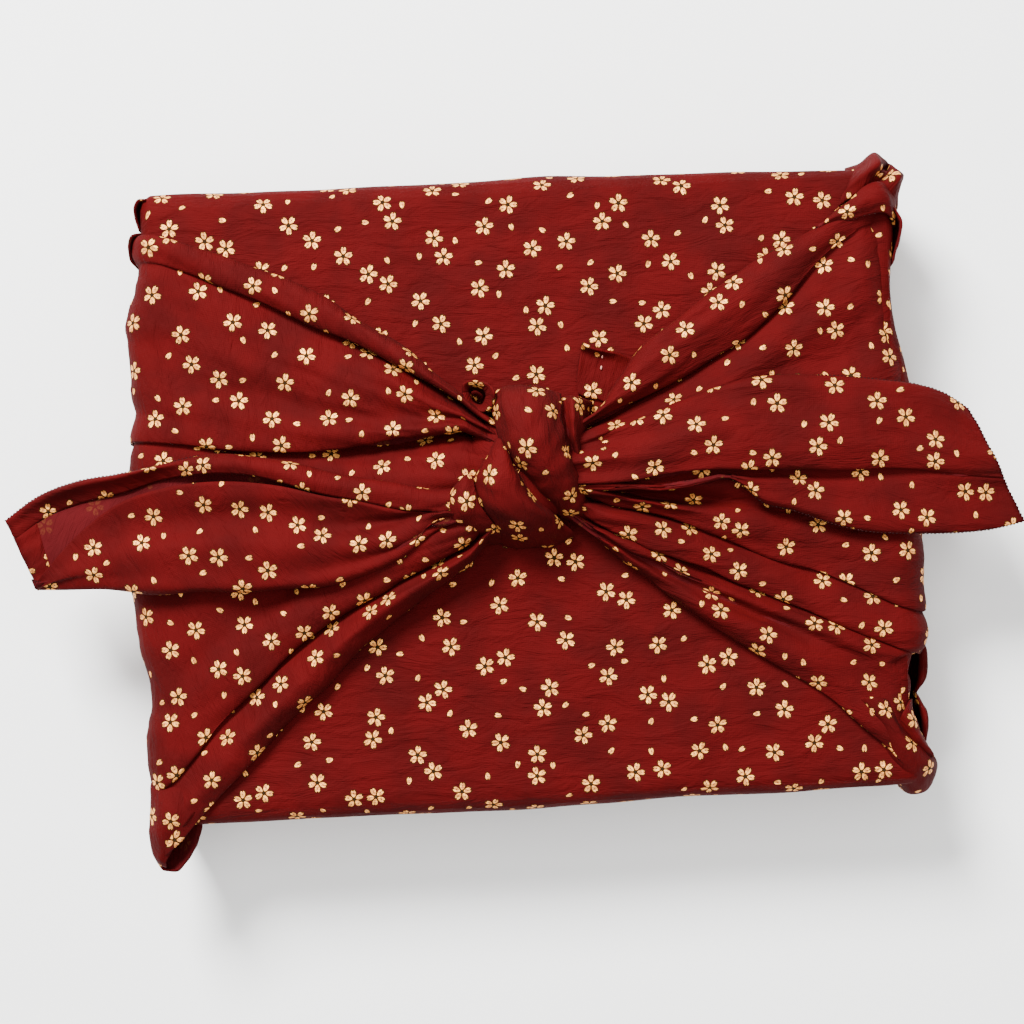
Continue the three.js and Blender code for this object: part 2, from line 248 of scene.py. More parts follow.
def add_layer(grid, flat, thick=THICKNESS, coarse=3, flip=False):
    """Adds one layer of cloth: its right side is the grid, and its wrong side lies thick under it."""
    sizes = grid.shape[:2]
    picks = [sorted({*range(0, size, coarse), size - 1}) for size in sizes]
    under = (grid - thick * facing(grid) * (-1 if flip else 1))[np.ix_(*picks)]
    front = np.arange(grid[..., 0].size).reshape(sizes)
    back = front.size + np.arange(under[..., 0].size).reshape(under.shape[:2])
    spans = [list(enumerate(zip(line, line[1:]))) for line in picks]
    faces, places, sides = [], [], []

    def add(corners, spots, side, turned=False):
        way = -1 if turned != flip else 1
        faces.append(corners[::way])
        places.append([flat[spot] for spot in spots[::way]])
        sides.append(side)

    for i in range(sizes[0] - 1):
        for j in range(sizes[1] - 1):
            spots = [(i, j), (i + 1, j), (i + 1, j + 1), (i, j + 1)]
            add([front[spot] for spot in spots], spots, PRINTED)
    for a, (i, k) in spans[0]:
        for b, (j, m) in spans[1]:
            add([back[a, b], back[a, b + 1], back[a + 1, b + 1], back[a + 1, b]],
                [(i, j), (i, m), (k, m), (k, j)], BACK)
    # The edges: along the first and last rows, then along the first and last columns.
    for axis, order in ((0, 1), (1, -1)):
        for end in (0, -1):
            for b, (j, m) in spans[1 - axis]:
                spots = [(picks[axis][end], step)[::order] for step in [*range(j, m + 1), m, j]]
                corners = [front[spot] for spot in spots[:-2]]
                corners += [back[(end, step)[::order]] for step in (b + 1, b)]
                add(corners, spots, PRINTED, turned=(end == -1) != (axis == 1))
    add_faces(np.concatenate([grid.reshape(-1, 3), under.reshape(-1, 3)]), faces, places, sides)


HALF_X, HALF_Y, TOP = 117.5, 97.2, 46.0
MIDDLE_Y = 1.2                 # the parcel's middle lies a little beyond the knot's axis
CORNER, RIM, FOOT = 3.5, 6.0, 2.5
BELLY = 2.0                    # how far the walls swell at their middle
WALL = 2.4                     # the layers pressed together round the parcel
LAYER_GAP = 1.4                # from one hidden layer to the next


def swell(along, height):
    """How far a wall stands out, at a place -1 to 1 along it and at a height."""
    return BELLY * np.cos(np.clip(along, -1, 1) * math.pi / 2) * np.sin(np.clip(height / TOP, 0, 1) * math.pi)


def rounded_parcel(step, inset=0, sharper=0):
    """Points and faces of the parcel's round-edged box, from one grid on each of its six sides."""
    size = np.array([HALF_X, HALF_Y, TOP / 2]) - inset
    middle = np.array([0, 0, TOP / 2])
    corner, rim = CORNER - sharper, RIM - sharper
    points, faces = [], []
    for axis in range(3):
        u, v = (
            np.linspace(-size[k], size[k], max(3, round(2 * size[k] / step)) + 1)
            for k in ((axis + 1) % 3, (axis + 2) % 3)
        )
        for way in (-1, 1):
            grid = np.stack(np.broadcast_arrays(way * size[axis], u[:, None], v), -1)
            number = sum(len(part) for part in points) + np.arange(u.size * v.size).reshape(u.size, v.size)
            quads = np.stack([number[:-1, :-1], number[1:, :-1], number[1:, 1:], number[:-1, 1:]], -1)
            faces.append(quads.reshape(-1, 4)[:, ::way])
            points.append(np.roll(grid, axis, -1).reshape(-1, 3))
    points, faces = np.concatenate(points), np.concatenate(faces)
    _, first, merged = np.unique(points.round(4), axis=0, return_index=True, return_inverse=True)
    points, faces = points[first], merged.reshape(-1)[faces]
    radius = np.where(np.arange(3) < 2, corner, np.where(points[:, 2:] > 0, rim, FOOT))
    inner = size - radius
    over = (np.abs(points) - inner).clip(0) / radius
    length = np.maximum(np.linalg.norm(over, axis=1, keepdims=True), 1e-9)
    largest = over.max(axis=1, keepdims=True)
    # A point on a flat side keeps its place; one near an edge or corner moves onto the round one.
    core = np.minimum(np.abs(points), inner)
    moved = core + radius * over / length * np.where(largest > 0, 1, 0)
    return np.sign(points) * moved + middle, faces


# How far the rim stands out from a straight line, at places along the far, near and right sides.
FAR_STAND = ((-119, -60, 0, 60, 119), (1.8, 0.6, 0.4, -0.3, -1.4))
NEAR_STAND = ((-119, -70, 0, 50, 90, 119), (1.2, 0.4, 0.2, -1.2, -0.4, -1.6))
RIGHT_STAND = (
    (-97, -84, -78, -60, -54, -48, 38, 46, 60, 72, 97),
    (0, 0, -3, -3, -1, 0, 0, -1.8, -2.8, -1.2, -0.5),
)


def shaped_top(points):
    """The flat cloth on top, as it lies: crowned towards the knot and never quite even."""
    x, y, z = points.T
    inside = np.clip(1 - np.maximum(np.abs(x) / HALF_X, np.abs(y) / HALF_Y), 0, 1)
    on_top = np.clip((z - TOP + 3) / 3, 0, 1)
    uneven = 0.4 * waves(points[:, :2], 46, 3) + 0.2 * waves(points[:, :2] * (1, 0.5), 15, 4)
    lift = on_top * (0.8 * np.sqrt(inside) + uneven * np.clip(inside * 6, 0.25, 1))
    wall = (1 - on_top) * np.clip(z / 8, 0, 1)
    side_x = np.clip((np.abs(x) - HALF_X + CORNER) / CORNER, 0, 1)
    side_y = np.clip((np.abs(y) - HALF_Y + CORNER) / CORNER, 0, 1)
    out_x = side_x * swell(y / HALF_Y, z)
    out_y = side_y * (swell(x / HALF_X, z) + wall * 0.3 * waves(points * (1, 1, 0.35), 30, 6))
    stand = np.where(y > 0, smooth(*FAR_STAND, x), smooth(*NEAR_STAND, x))
    out_y = out_y + side_y * np.clip(z / 20, 0, 1) * stand
    out_x = out_x + side_x * np.clip(z / 20, 0, 1) * np.where(x > 0, smooth(*RIGHT_STAND, y), 0)
    return points + np.stack([np.sign(x) * out_x, np.sign(y) * out_y + MIDDLE_Y, lift], 1)


def parcel_flat(points, face):
    """Flat places of one face's corners: cloth of the near and far sides, or of the two ends."""
    corner = points[face]
    centre = corner.mean(0)
    on_end = abs(centre[0]) / HALF_X > abs(centre[1]) / HALF_Y and centre[2] < TOP - 1
    down = TOP - corner[:, 2]
    if centre[2] < 1.5:
        return corner[:, :2] * (1, -1) + (0, 400)
    if on_end:
        return np.stack([corner[:, 0] + np.sign(centre[0]) * down, corner[:, 1]], 1)
    return np.stack([corner[:, 0], corner[:, 1] + np.sign(centre[1]) * down], 1)


def wrap_parcel():
    outside, outer = rounded_parcel(3.6)
    inside, inner = rounded_parcel(8.0, inset=WALL, sharper=1)
    for points, faces, side in ((shaped_top(outside), outer, PRINTED), (inside, inner[:, ::-1], BACK)):
        add_faces(points, faces.tolist(), [parcel_flat(points, face) for face in faces], side)


wrap_parcel()


# ---------------------------------------------------------------- gathered fans
# The cloth's left and right corners come up the ends of the parcel, turn over its rim and are drawn
# together into the knot. Each fan is one layer whose long edges are turned under. A row is one fold:
# its y on the rim, at three places on the top and at the knot, then how high it stands.

PLACES = (119, 95, 70, 45, 20)
RISE_PLACES = (119, 70, 20)

LEFT_FOLDS = (
    # rim, outer, middle, inner, knot, then rise: rim, middle, knot
    (79, 71, 61, 45, 29, 0.5, 0.5, 1),  # far edge, turned under
    (88, 79.5, 69.5, 53, 33.5, 0.7, 1, 3),
    (89, 80.5, 70.5, 54, 34, 1.6, 2.8, 8),  # the turned edge
    (86.5, 77.5, 67, 51.5, 33, 2.6, 6.8, 14),
    (84, 74.5, 62.5, 49, 31.5, 2.6, 7.2, 16),  # first ridge
    (81, 71.5, 58.5, 46.2, 30, 2.4, 5, 14),
    (79.5, 72, 60.8, 47.6, 30.6, 2.2, 0.9, 6),  # crease tucked under it
    (77, 68, 54, 43, 28, 2.5, 4.2, 13.5),
    (62, 53, 42, 34, 26.5, 3, 6, 16),  # broad panel
    (46, 38, 30.5, 26.8, 25, 2, 4.4, 14),  # soft valley
    (33, 27, 23, 22, 23, 3, 6.8, 17),  # second ridge
    (24, 20, 17.2, 18.4, 21.4, 2.4, 5, 14),
    (26, 22, 19.6, 19.8, 22, 1.4, 0.9, 6),  # crease tucked under it
    (12, 10, 9, 12.5, 16.5, 2.6, 5.2, 14),
    (-14, -8, -4, 2, 8, 3, 6, 16),  # panel under the free end
    (-42, -24, -12, -4, 2, 2.8, 5.2, 14),
    (-60, -37, -20.4, -9.4, -1.5, 2, 3, 10),  # soft crease
    (-72, -46, -28, -15, -6, 3, 7, 15),
    (-85, -57, -36, -22, -11, 2.8, 7, 14),
    (-90, -62, -40, -25.4, -13.8, 2.2, 4.6, 11),
    (-89, -60.5, -38.2, -24, -12.8, 1, 0.9, 4.5),  # deep crease tucked under it
    (-98, -69, -44.5, -28, -15.5, 2.4, 6, 11),
    (-103, -74.5, -50, -30.5, -16.8, 3, 8.2, 14),  # last ridge
    (-108, -79.5, -55.5, -34, -18.6, 2.4, 5.5, 10),
    (-110, -82, -58, -36, -19.6, 1.4, 2.2, 5),  # the turned edge
    (-108.5, -80.5, -56.5, -34.5, -18.5, 0.6, 0.8, 2),
    (-100, -72, -49, -29, -15, 0.5, 0.5, 1),  # near edge, turned under
)

RIGHT_FOLDS = (
    (80, 71, 58, 43, 19, 0.5, 0.5, 1),
    (89, 79.5, 66, 50.5, 25, 0.7, 1, 3),
    (90, 80.7, 67.2, 51.6, 25.6, 1.6, 2.8, 8),  # the turned edge
    (88, 78, 64, 49, 25, 2.8, 6.4, 14),
    (85.5, 74.5, 58, 43, 24, 2.8, 7, 16),  # first ridge
    (83.5, 71, 50, 36, 22.6, 2.5, 5.6, 14),
    (82, 69.4, 47.4, 33.4, 21.9, 2.3, 4.4, 12),
    (80.8, 69.6, 49.2, 35.2, 22.4, 2, 0.9, 6),  # long crease tucked under it
    (78, 65, 43, 29.5, 20.5, 2.5, 4, 13),
    (62, 52, 36, 25, 18, 3.2, 6, 16),
    (52, 43, 31, 22, 16.5, 1.8, 4.6, 15),  # soft valley
    (36, 30, 23, 18, 13.5, 3, 5.8, 16),
    (8, 6, 5, 6, 6.5, 2.6, 5, 15),
    (-8, -5, -2, 1.4, 3.8, 2.8, 4.4, 12),
    (-15, -9.5, -5.5, -2, 2, 2.6, 2.4, 3),  # hollow under the free end's edge
    (-24, -17, -10.6, -5.2, 0.8, 3, 5.8, 14.5),
    (-36, -25.5, -17, -7.4, -0.6, 2.6, 4.6, 12),
    (-42.5, -30.5, -20.6, -9.4, -2, 2.2, 3.6, 10),
    (-41, -29, -18.8, -8.4, -1.2, 1.2, 0.9, 5),  # dark crease beside it
    (-49, -37.5, -26.5, -14, -5, 2.6, 5.6, 13.5),
    (-53.5, -42, -31, -19.5, -8, 2.6, 5.4, 12),
    (-55.6, -44.2, -33, -21.5, -9.3, 2.2, 4.2, 11),
    (-55, -43.2, -31.4, -20.2, -8.7, 1.2, 0.9, 5),  # crease between the pleats
    (-60, -48.5, -37, -25, -11.2, 2.6, 5.6, 12),
    (-66, -52, -40, -27.5, -12.4, 1.8, 3, 8.5),  # crease
    (-73, -57, -44, -30, -13.2, 2.8, 5.8, 10),
    (-88, -66, -50, -33.5, -13.8, 2.6, 5, 8),  # last pleat
    (-94, -71, -53.4, -35.6, -14.2, 1.4, 2, 4),
    (-92, -69.5, -52, -34.4, -13.4, 0.6, 0.8, 2),
    (-85, -62, -45, -28, -10, 0.5, 0.5, 1),
)

FAN_COLUMNS = 162
FAN_WALL_SHARE = 0.92          # width of a fan on the wall, as a share of its width at the rim
FAN_INNER = 6.0                # how near to the parcel's middle a fan runs, inside the knot
KNOT_Y = 9.0                   # where the folds are drawn together

# Where the rim of each fan stands: places along it, then its distance from the parcel's middle.
LEFT_RIM = (
    (-110, -88, -68, -58, -48, -38, -26, -4, 17, 22, 27, 32, 37, 47, 57, 67, 72, 76, 82, 88),
    (123, 123, 123.4, 122, 122.4, 124.1, 125.7, 125.6, 125.2, 124.3, 123.4, 121.9, 123.3, 123.7,
     123.2, 121.5, 120.3, 119.4, 121, 119.8),
)
RIGHT_RIM = (
    (-95, -88, -81, -78, -74.5, -71.5, -68, -65, -62.5, -59, -56.5, -54, -50, -41,
     -30, -21, 2, 25, 40, 45, 50, 53, 58, 64, 69, 75, 80, 90),
    (118, 118.5, 118.6, 117, 115.5, 115, 115.5, 117, 116.8, 115.2, 114.5, 119.5, 121, 121.5,
     121, 121.2, 119.5, 117.5, 117.3, 116.2, 115.9, 116, 114.1, 113.4, 113.6, 114, 113.6, 113),
)
RIM_RISE = 3.4                 # how far the fan itself stands off the wall at the rim


def fan_path():
    """Stations from the foot of an end wall, over the rim, in to the knot."""
    wall = [(HALF_X, z, 1, 0) for z in np.linspace(1.5, TOP - RIM, 17)]
    arc = [
        (HALF_X - RIM + RIM * math.cos(a), TOP - RIM + RIM * math.sin(a), math.cos(a), math.sin(a))
        for a in np.linspace(0, math.pi / 2, 9)[1:]
    ]
    top = [(x, TOP, 0, 1) for x in np.linspace(HALF_X - RIM, FAN_INNER, 72)[1:]]
    return np.array(wall + arc + top)


def fan(side, folds, rim, seed):
    """Adds the fan of one end wall; side is -1 for the left and 1 for the right."""
    folds = np.array(folds)
    x, z, out, up = fan_path().T
    places, rises = folds[:, :5], folds[:, 5:]
    near_knot = np.clip(x, PLACES[-1], PLACES[0])
    y = smooth(-np.array(PLACES), places.T, -near_knot)
    rise = smooth(-np.array(RISE_PLACES), rises.T, -near_knot)
    inside = np.clip((PLACES[-1] - x) / PLACES[-1], 0, 1)[:, None]
    y = y + inside * (KNOT_Y - y) * 0.8
    y *= 1 - (1 - FAN_WALL_SHARE) * out[:, None] * np.clip((TOP - z) / 25, 0, 1)[:, None]
    down = np.clip((TOP - RIM - z) / 30, 0, 1)[:, None]
    rise = rise * (1 - down) + np.minimum(rise, 0.9) * down
    # The columns are spread by the distance from one fold to the next, across and in height.
    spread = np.hypot(np.diff(places[:, 1:4].mean(1)), np.diff(rises[:, 1]) * 1.2) + 0.8
    spread = np.concatenate([[0], np.cumsum(spread)])
    columns = np.linspace(0, spread[-1], FAN_COLUMNS)
    shape = smooth(spread, np.stack([y.T, rise.T], -1), columns)     # columns, stations, 2
    y, rise = shape[..., 0].T, shape[..., 1].T
    flap_lift = 0.8 * np.sqrt(np.clip(1 - np.maximum(x[:, None] / HALF_X, np.abs(y) / HALF_Y), 0, 1))
    lift = np.clip(rise, 0.4, None) + up[:, None] * flap_lift
    lift = lift + out[:, None] * swell(y / HALF_Y, z[:, None])
    stand = smooth(*rim, y) - HALF_X - RIM_RISE
    stand *= (np.clip((x - 84) / 30, 0, 1) ** 2 * np.clip(z / 30, 0.3, 1))[:, None]
    grid = np.stack([
        side * (x[:, None] + out[:, None] * lift + stand), y, z[:, None] + up[:, None] * lift,
    ], -1)
    normal = facing(grid) * side
    # Fine creases run along the folds, and fade where the cloth is tucked under.
    run = np.concatenate([[0], np.cumsum(np.hypot(np.diff(x), np.diff(z)))])
    angle = y / np.maximum(x[:, None] + 25, 20)
    places = np.stack([np.broadcast_to(run[:, None], y.shape) / 7, angle * 95], -1)
    fine = 0.32 * waves(places, 9, seed) + 0.16 * waves(places * (1.5, 1), 4.5, seed + 1)
    broad = 0.5 * waves(np.stack([grid[..., 0], y + z[:, None]], -1), 38, seed + 2)
    hold = np.clip(rise - 0.8, 0, 1.6) / 1.6
    grid = grid + normal * ((fine + broad) * hold)[..., None]
    flat = flatten(grid, np.stack([side * -run[:, None] + 0 * y, y], -1), most=(56, 110), rounds=220)
    add_layer(grid, flat, flip=side < 0)


fan(-1, LEFT_FOLDS, LEFT_RIM, 11)
fan(1, RIGHT_FOLDS, RIGHT_RIM, 21)


# ---------------------------------------------------------------- ears
# The spare cloth of each corner stands out over the rim: a leaf folded to an open sleeve at the near
# left, a cup and a turned band at the far right, a blunt lobe at the near right. Along the rim the
# edges of the walls' cloth stand off a little as lips. A row is a line across the ear, in x, y, z.

NEAR_LEFT_LEAF = (
    ((-101.5, -84.5, 46), (-108, -80.5, 46), (-122, -79, 41), (-116.5, -83, 33), (-105, -90, 34)),
    ((-106, -89, 48.5), (-113, -86.5, 49), (-122.5, -85, 43), (-118, -89.5, 33), (-107, -93.5, 37)),
    ((-110, -94, 49.5), (-115.5, -92, 50.5), (-123, -91, 43), (-119, -96, 34), (-107.5, -98, 41)),
    ((-113.5, -98, 48), (-117.5, -97.5, 49), (-124, -98, 42), (-119.5, -102.5, 34),
     (-109, -102.5, 41.5)),
    ((-116.5, -104, 46), (-119, -103, 46.5), (-123.5, -103.5, 41), (-120, -107.5, 35),
     (-112.5, -108, 41.5)),
    ((-119, -108, 44), (-120.5, -107, 44.5), (-122.5, -106.5, 41), (-121, -110, 37), (-115.5, -111, 41)),
    ((-119, -109.5, 42.5), (-120, -109, 42.5), (-121, -108.5, 41), (-120.5, -110.5, 39.5),
     (-117.5, -111, 41)),
)

FAR_RIGHT_CUP = (
    ((104.5, 97, 28), (110, 98.5, 28), (113.5, 100.5, 28), (115.5, 99.5, 28), (117, 98.5, 28),
     (118.5, 97.5, 28), (120.5, 96, 28), (121, 94, 26), (120, 93, 24)),
    ((103, 97, 41), (107.5, 98.5, 44), (112, 101.5, 45), (115, 99.5, 42), (117, 99, 34),
     (117.5, 97.5, 43), (120, 95, 45), (121, 94, 40), (121, 93, 30)),
    ((103, 92.5, 47), (107.5, 95.5, 49.5), (112.5, 98, 51), (113.5, 96, 44), (115, 96, 35),
     (116.5, 95.5, 45), (119, 93.5, 48), (120, 92, 42), (120.5, 91, 30)),
    ((100.5, 88.5, 47), (105.5, 91.5, 48.5), (109.5, 93.5, 49.5), (110.5, 93, 47), (111.5, 92.5, 46),
     (114, 92.5, 48), (117, 90.5, 48), (119, 89, 42), (120, 87.5, 30)),
    ((99.5, 85.5, 47), (103.5, 88, 47.5), (107.5, 90, 48), (109, 90.5, 47.5), (110.5, 90.5, 47.5),
     (113, 90.5, 48), (116, 88.5, 47), (118.5, 86, 40), (120, 84.5, 30)),
)

FAR_RIGHT_BAND = (
    ((91, 76.5, 47.5), (91.5, 78, 49), (92.5, 78.5, 49), (94, 78, 48)),
    ((95.5, 82, 47.5), (96, 82, 50), (97, 81.5, 51), (99, 80.5, 49.5)),
    ((102, 86.5, 47.5), (102.5, 86.5, 50), (102.5, 83.5, 52), (102.5, 80.5, 50)),
    ((107.5, 91, 47.5), (108, 91, 50), (108.5, 86.5, 52.5), (108, 82, 50)),
    ((111, 92.5, 47), (111.5, 92, 50), (111.5, 87, 52.5), (112.5, 82.5, 50)),
    ((116, 92, 44), (115, 90.5, 48), (114.5, 86.5, 51), (115, 81.5, 48.5)),
    ((119, 89, 38), (117.5, 88, 44), (116, 84, 48), (116.5, 80, 46)),
    ((120.5, 86, 28), (119, 84.5, 36), (118, 81.5, 42), (117.5, 78.5, 42)),
)

NEAR_RIGHT_LOBE = (
    ((95.5, -68, 47.5), (99, -66.5, 50), (102.5, -66.5, 51), (106.5, -67.5, 50), (109.5, -69.5, 42)),
    ((100.5, -72.5, 46.5), (102.5, -71, 50.5), (106, -71.5, 52), (109.5, -74.5, 50), (114, -76.5, 40)),
    ((103.5, -77.5, 46), (106, -76.5, 50.5), (109, -77.5, 51.5), (113, -80, 49.5), (118.5, -81.5, 40)),
    ((105.5, -84, 45), (109, -83, 49.5), (112.5, -83, 50.5), (117, -84.5, 47.5), (121.5, -86, 41)),
    ((108, -90, 42.5), (111.5, -89, 47), (115, -88.5, 48), (119.5, -88.5, 45), (123, -88.5, 38)),
    ((111, -96, 33), (114, -98, 37), (117.5, -98, 37), (121.5, -96, 34), (123.5, -92.5, 30)),
    ((112.5, -96, 17), (116, -98, 17), (119, -97.5, 17), (122, -95.5, 17), (123.5, -92, 17)),
)

NEAR_RIGHT_BAND = (
    ((110.5, -77, 42), (110, -75.5, 48), (111, -72, 51),
     (113.5, -69, 49.5), (115.5, -68.5, 43), (117, -69, 30)),
    ((112.5, -80, 42), (112, -78.5, 48.5), (113, -75, 51),
     (114, -71.5, 49.5), (115.5, -71, 43), (117, -71.5, 30)),
    ((115.5, -82.5, 42), (114.5, -81, 48), (115, -78.5, 50),
     (115.5, -75.5, 48.5), (116.5, -74.5, 42), (117.5, -74.5, 30)),
    ((118.5, -84.5, 42), (118, -84, 46.5), (118, -82, 48),
     (117.5, -79.5, 46.5), (118, -79, 41), (119, -79, 30)),
    ((121, -87, 41), (121, -86.5, 44), (121, -85.5, 44.5),
     (120.5, -84, 43), (120.5, -83, 37), (121, -83.5, 28)),
)

# How far the top of each lip rolls inwards, then the points of its top line. They stand at the far
# left corner, beside it on the left wall, at the far right, and two at the near right.
LIPS = (
    (0, ((-115, 98.5, 44.5), (-117.5, 98.5, 45), (-119, 96, 45), (-119, 94, 44), (-118, 89, 42))),
    (0, ((-117, 88.5, 42), (-120.5, 87.5, 43), (-121.5, 84.5, 43), (-121.5, 81, 41), (-119.5, 77.5, 38))),
    (0, ((116.5, 85, 46), (119, 80.5, 47), (118.5, 75, 46), (116.5, 69, 44), (114, 63, 41))),
    (1.8, ((119.5, -48, 36), (121.5, -53, 37), (122, -58, 37), (121, -63, 36.5), (118, -67.5, 35))),
    (1.2, ((117.5, -66, 36), (119.5, -70, 37.5), (121, -74, 38), (121, -77.5, 38), (120, -82, 37))),
)
LIP_DEPTH, LIP_TUCK = 26.0, 5.0


def through(rows, steps):
    """A grid of points on the soft surface through the rows."""
    grid = np.array(rows, float)
    for count in steps:
        knots = run_along(grid, 0)
        grid = smooth(knots, grid, np.linspace(0, knots[-1], count)).swapaxes(0, 1)
    return grid


def add_net(grid, shift, seed, flip=False, fine=0.15, thick=THICKNESS):
    """Adds a small piece of the cloth, with fine creases; shift is its place on the flat cloth."""
    grid = grid + facing(grid) * (fine * waves(grid * (1, 1, 0.6), 6, seed))[..., None]
    start = np.stack(np.meshgrid(run_along(grid, 0), run_along(grid, 1), indexing="ij"), -1)
    add_layer(grid, flatten(grid, start, (24, 24), 30) + shift, thick, flip=flip)


def lip(roll, rim, number):
    """Adds a lip of cloth that stands off the wall, under the line of its rim."""
    side = np.sign(rim[0][0])
    inward = np.array([-side, 0, 0])
    rows = []
    for point, share in zip(np.array(rim, float), np.sin(np.linspace(0.3, math.pi - 0.3, len(rim)))):
        row = [point, point - (0, 0, LIP_DEPTH / 3), point + inward * LIP_TUCK - (0, 0, LIP_DEPTH)]
        if roll:
            over = point + inward * roll * share
            row[:1] = [over + inward - (0, 0, 5), over + (0, 0, 0.2),
                       point + inward * 0.8 + (0, 0, 0.8), point - (0, 0, 1)]
        rows.append(row)
    add_net(through(rows, (28, 14)), (60 * number, 380), 60 + number, flip=side < 0, thick=0.6)


add_net(through(NEAR_LEFT_LEAF, (44, 48)), (300, 0), 41, flip=True)
add_net(through(FAR_RIGHT_CUP, (28, 56)), (360, 0), 42)
add_net(through(FAR_RIGHT_BAND, (52, 24)), (420, 0), 43, flip=True)
add_net(through(NEAR_RIGHT_LOBE, (48, 32)), (480, 0), 44)
add_net(through(NEAR_RIGHT_BAND, (32, 32)), (540, 0), 45)
for number, (roll, rim) in enumerate(LIPS):
    lip(roll, rim, number)


# ---------------------------------------------------------------- knot
# The two gathered corners are tied once over each other: a band crosses the knot over the turn under
# it, a loop lies at the left and a gathered strip at the right. At the far left the crossing band
# ends in an open cone. The near flap's corner comes out beside the knot. Rows as in the ears.

KNOT = np.array([-3.0, KNOT_Y, 54.0])
CORE_RADII = (17, 19, 12)

CROSSING_BAND = (
    ((-10.5, 33.5, 50), (-6, 34.5, 53), (-0.5, 34.5, 54), (5.5, 33.5, 53), (11, 31.5, 52)),
    ((-11, 31.5, 60), (-6.5, 33, 66), (-0.5, 33, 68), (5.5, 32, 67), (10.5, 30, 63)),
    ((-11, 27, 63), (-6.5, 28.5, 71), (-0.5, 29, 73), (5.5, 28, 71.5), (10.5, 26, 67)),
    ((-10, 23, 64), (-6, 23.5, 73), (0, 24, 76), (6, 23.5, 73.5), (10.5, 22, 68.5)),
    ((-9, 18.5, 65), (-5.5, 19.5, 74), (1, 19.5, 77), (7, 19.5, 74), (11, 18.5, 68.5)),
    ((-7, 13.5, 65), (-4, 14.5, 74), (2.5, 15, 77), (8, 14.5, 73.5), (11.5, 14, 68)),
    ((-3, 8, 64.5), (0, 9, 73), (5.5, 9.5, 75), (10.5, 9.5, 71.5), (13.5, 9, 66)),
    ((1, 2.5, 62), (4, 3.5, 69.5), (9, 4.5, 71.5), (13, 4, 68), (15, 4, 62)),
    ((5.5, -3, 58), (8, -1.5, 64.5), (12.5, -1, 66), (15, -1.5, 62), (17, -2, 56)),
    ((10.5, -7.5, 51), (13, -7, 56), (15.5, -6.5, 57), (17.5, -6.5, 54), (19, -7.5, 50)),
    ((14, -10, 46), (15.5, -9.5, 48.5), (18, -10, 49), (19, -10, 48), (20, -10.5, 46)),
)

TURN_UNDER_IT = (
    ((-11.5, 16, 58), (-10.5, 17.5, 63), (-9.5, 18.5, 66), (-8, 18, 67), (-7, 16, 62)),
    ((-14, 11.5, 56), (-13, 13, 65), (-10, 13.5, 70), (-7, 12.5, 71), (-4.5, 11, 63)),
    ((-17, 7, 56), (-15.5, 8, 66), (-11.5, 8.5, 72), (-6.5, 8, 73), (-2, 6, 63)),
    ((-18, 2, 57), (-16, 3, 67), (-11, 3, 73), (-5, 3, 73), (1.5, 1, 62)),
    ((-16.5, -3, 57), (-14, -2.5, 66), (-9, -2, 72), (-1.5, -2, 71), (5.5, -4, 60)),
    ((-13.5, -7.5, 55), (-10.5, -7, 63), (-5, -7, 68), (3, -7, 66), (9.5, -8, 56)),
    ((-11.5, -11.5, 50), (-9, -11.5, 57), (-3.5, -12, 60), (4.5, -12, 58), (12.5, -11.5, 52)),
    ((-10.5, -14, 45), (-8, -15, 48), (-3, -15.5, 49), (4.5, -15.5, 48), (12, -13.5, 46)),
)

LEFT_LOOP = (
    ((-23, 5.5, 55), (-21, 7, 62), (-19, 8, 65), (-17, 7.5, 64)),
    ((-26, 3, 55), (-23.5, 4, 64), (-20.5, 4.5, 68), (-17, 4.5, 66.5)),
    ((-28, 0, 54), (-25, 0.5, 64), (-21, 1.5, 69), (-16.5, 1.5, 67.5)),
    ((-29, -3.5, 53), (-25.5, -3, 63), (-20.5, -2.5, 68.5), (-15.5, -1.5, 67)),
    ((-28, -6.5, 51), (-24.5, -6.5, 60), (-19.5, -5.5, 66), (-13.5, -5, 65)),
    ((-25.5, -8.5, 49), (-22, -8.5, 57), (-17, -8.5, 62), (-11.5, -8, 61.5)),
    ((-21.5, -10.5, 48), (-18.5, -11, 53), (-14.5, -11, 56.5), (-9.5, -11, 56)),
    ((-17.5, -12.5, 46), (-15.5, -13, 49), (-12.5, -14, 50), (-9, -13.5, 50)),
)

RIGHT_STRIP = (
    ((6, 30.5, 47), (8.5, 31, 50), (11, 30.5, 49), (13.5, 30.5, 50), (16.5, 30, 49.5), (20.5, 29, 46)),
    ((6.5, 28.5, 60), (8.5, 28.5, 66), (11, 28.5, 62), (13.5, 28.5, 65), (16.5, 28, 61.5), (20, 26.5, 52)),
    ((6.5, 24, 63), (9, 24.5, 69), (11.5, 24, 64), (13.5, 24, 67.5), (16.5, 23.5, 63), (19.5, 22.5, 53)),
    ((7.5, 19, 64), (9.5, 19.5, 69.5), (12, 19, 64.5), (13.5, 19, 67.5), (16, 18.5, 63), (18.5, 17.5, 53)),
    ((9.5, 14.5, 63), (11, 15, 68), (13, 14.5, 63), (14.5, 14.5, 65.5), (16, 14, 61), (17.5, 13.5, 52)),
    ((12, 10, 60), (13, 10, 64), (14, 9.5, 60), (15, 9.5, 61.5), (16, 9, 57), (17, 8.5, 50)),
    ((14, 5.5, 54), (14.5, 5.5, 56), (15, 5.5, 54), (15.5, 5.5, 55), (16, 5, 53), (16.5, 5, 49)),
)

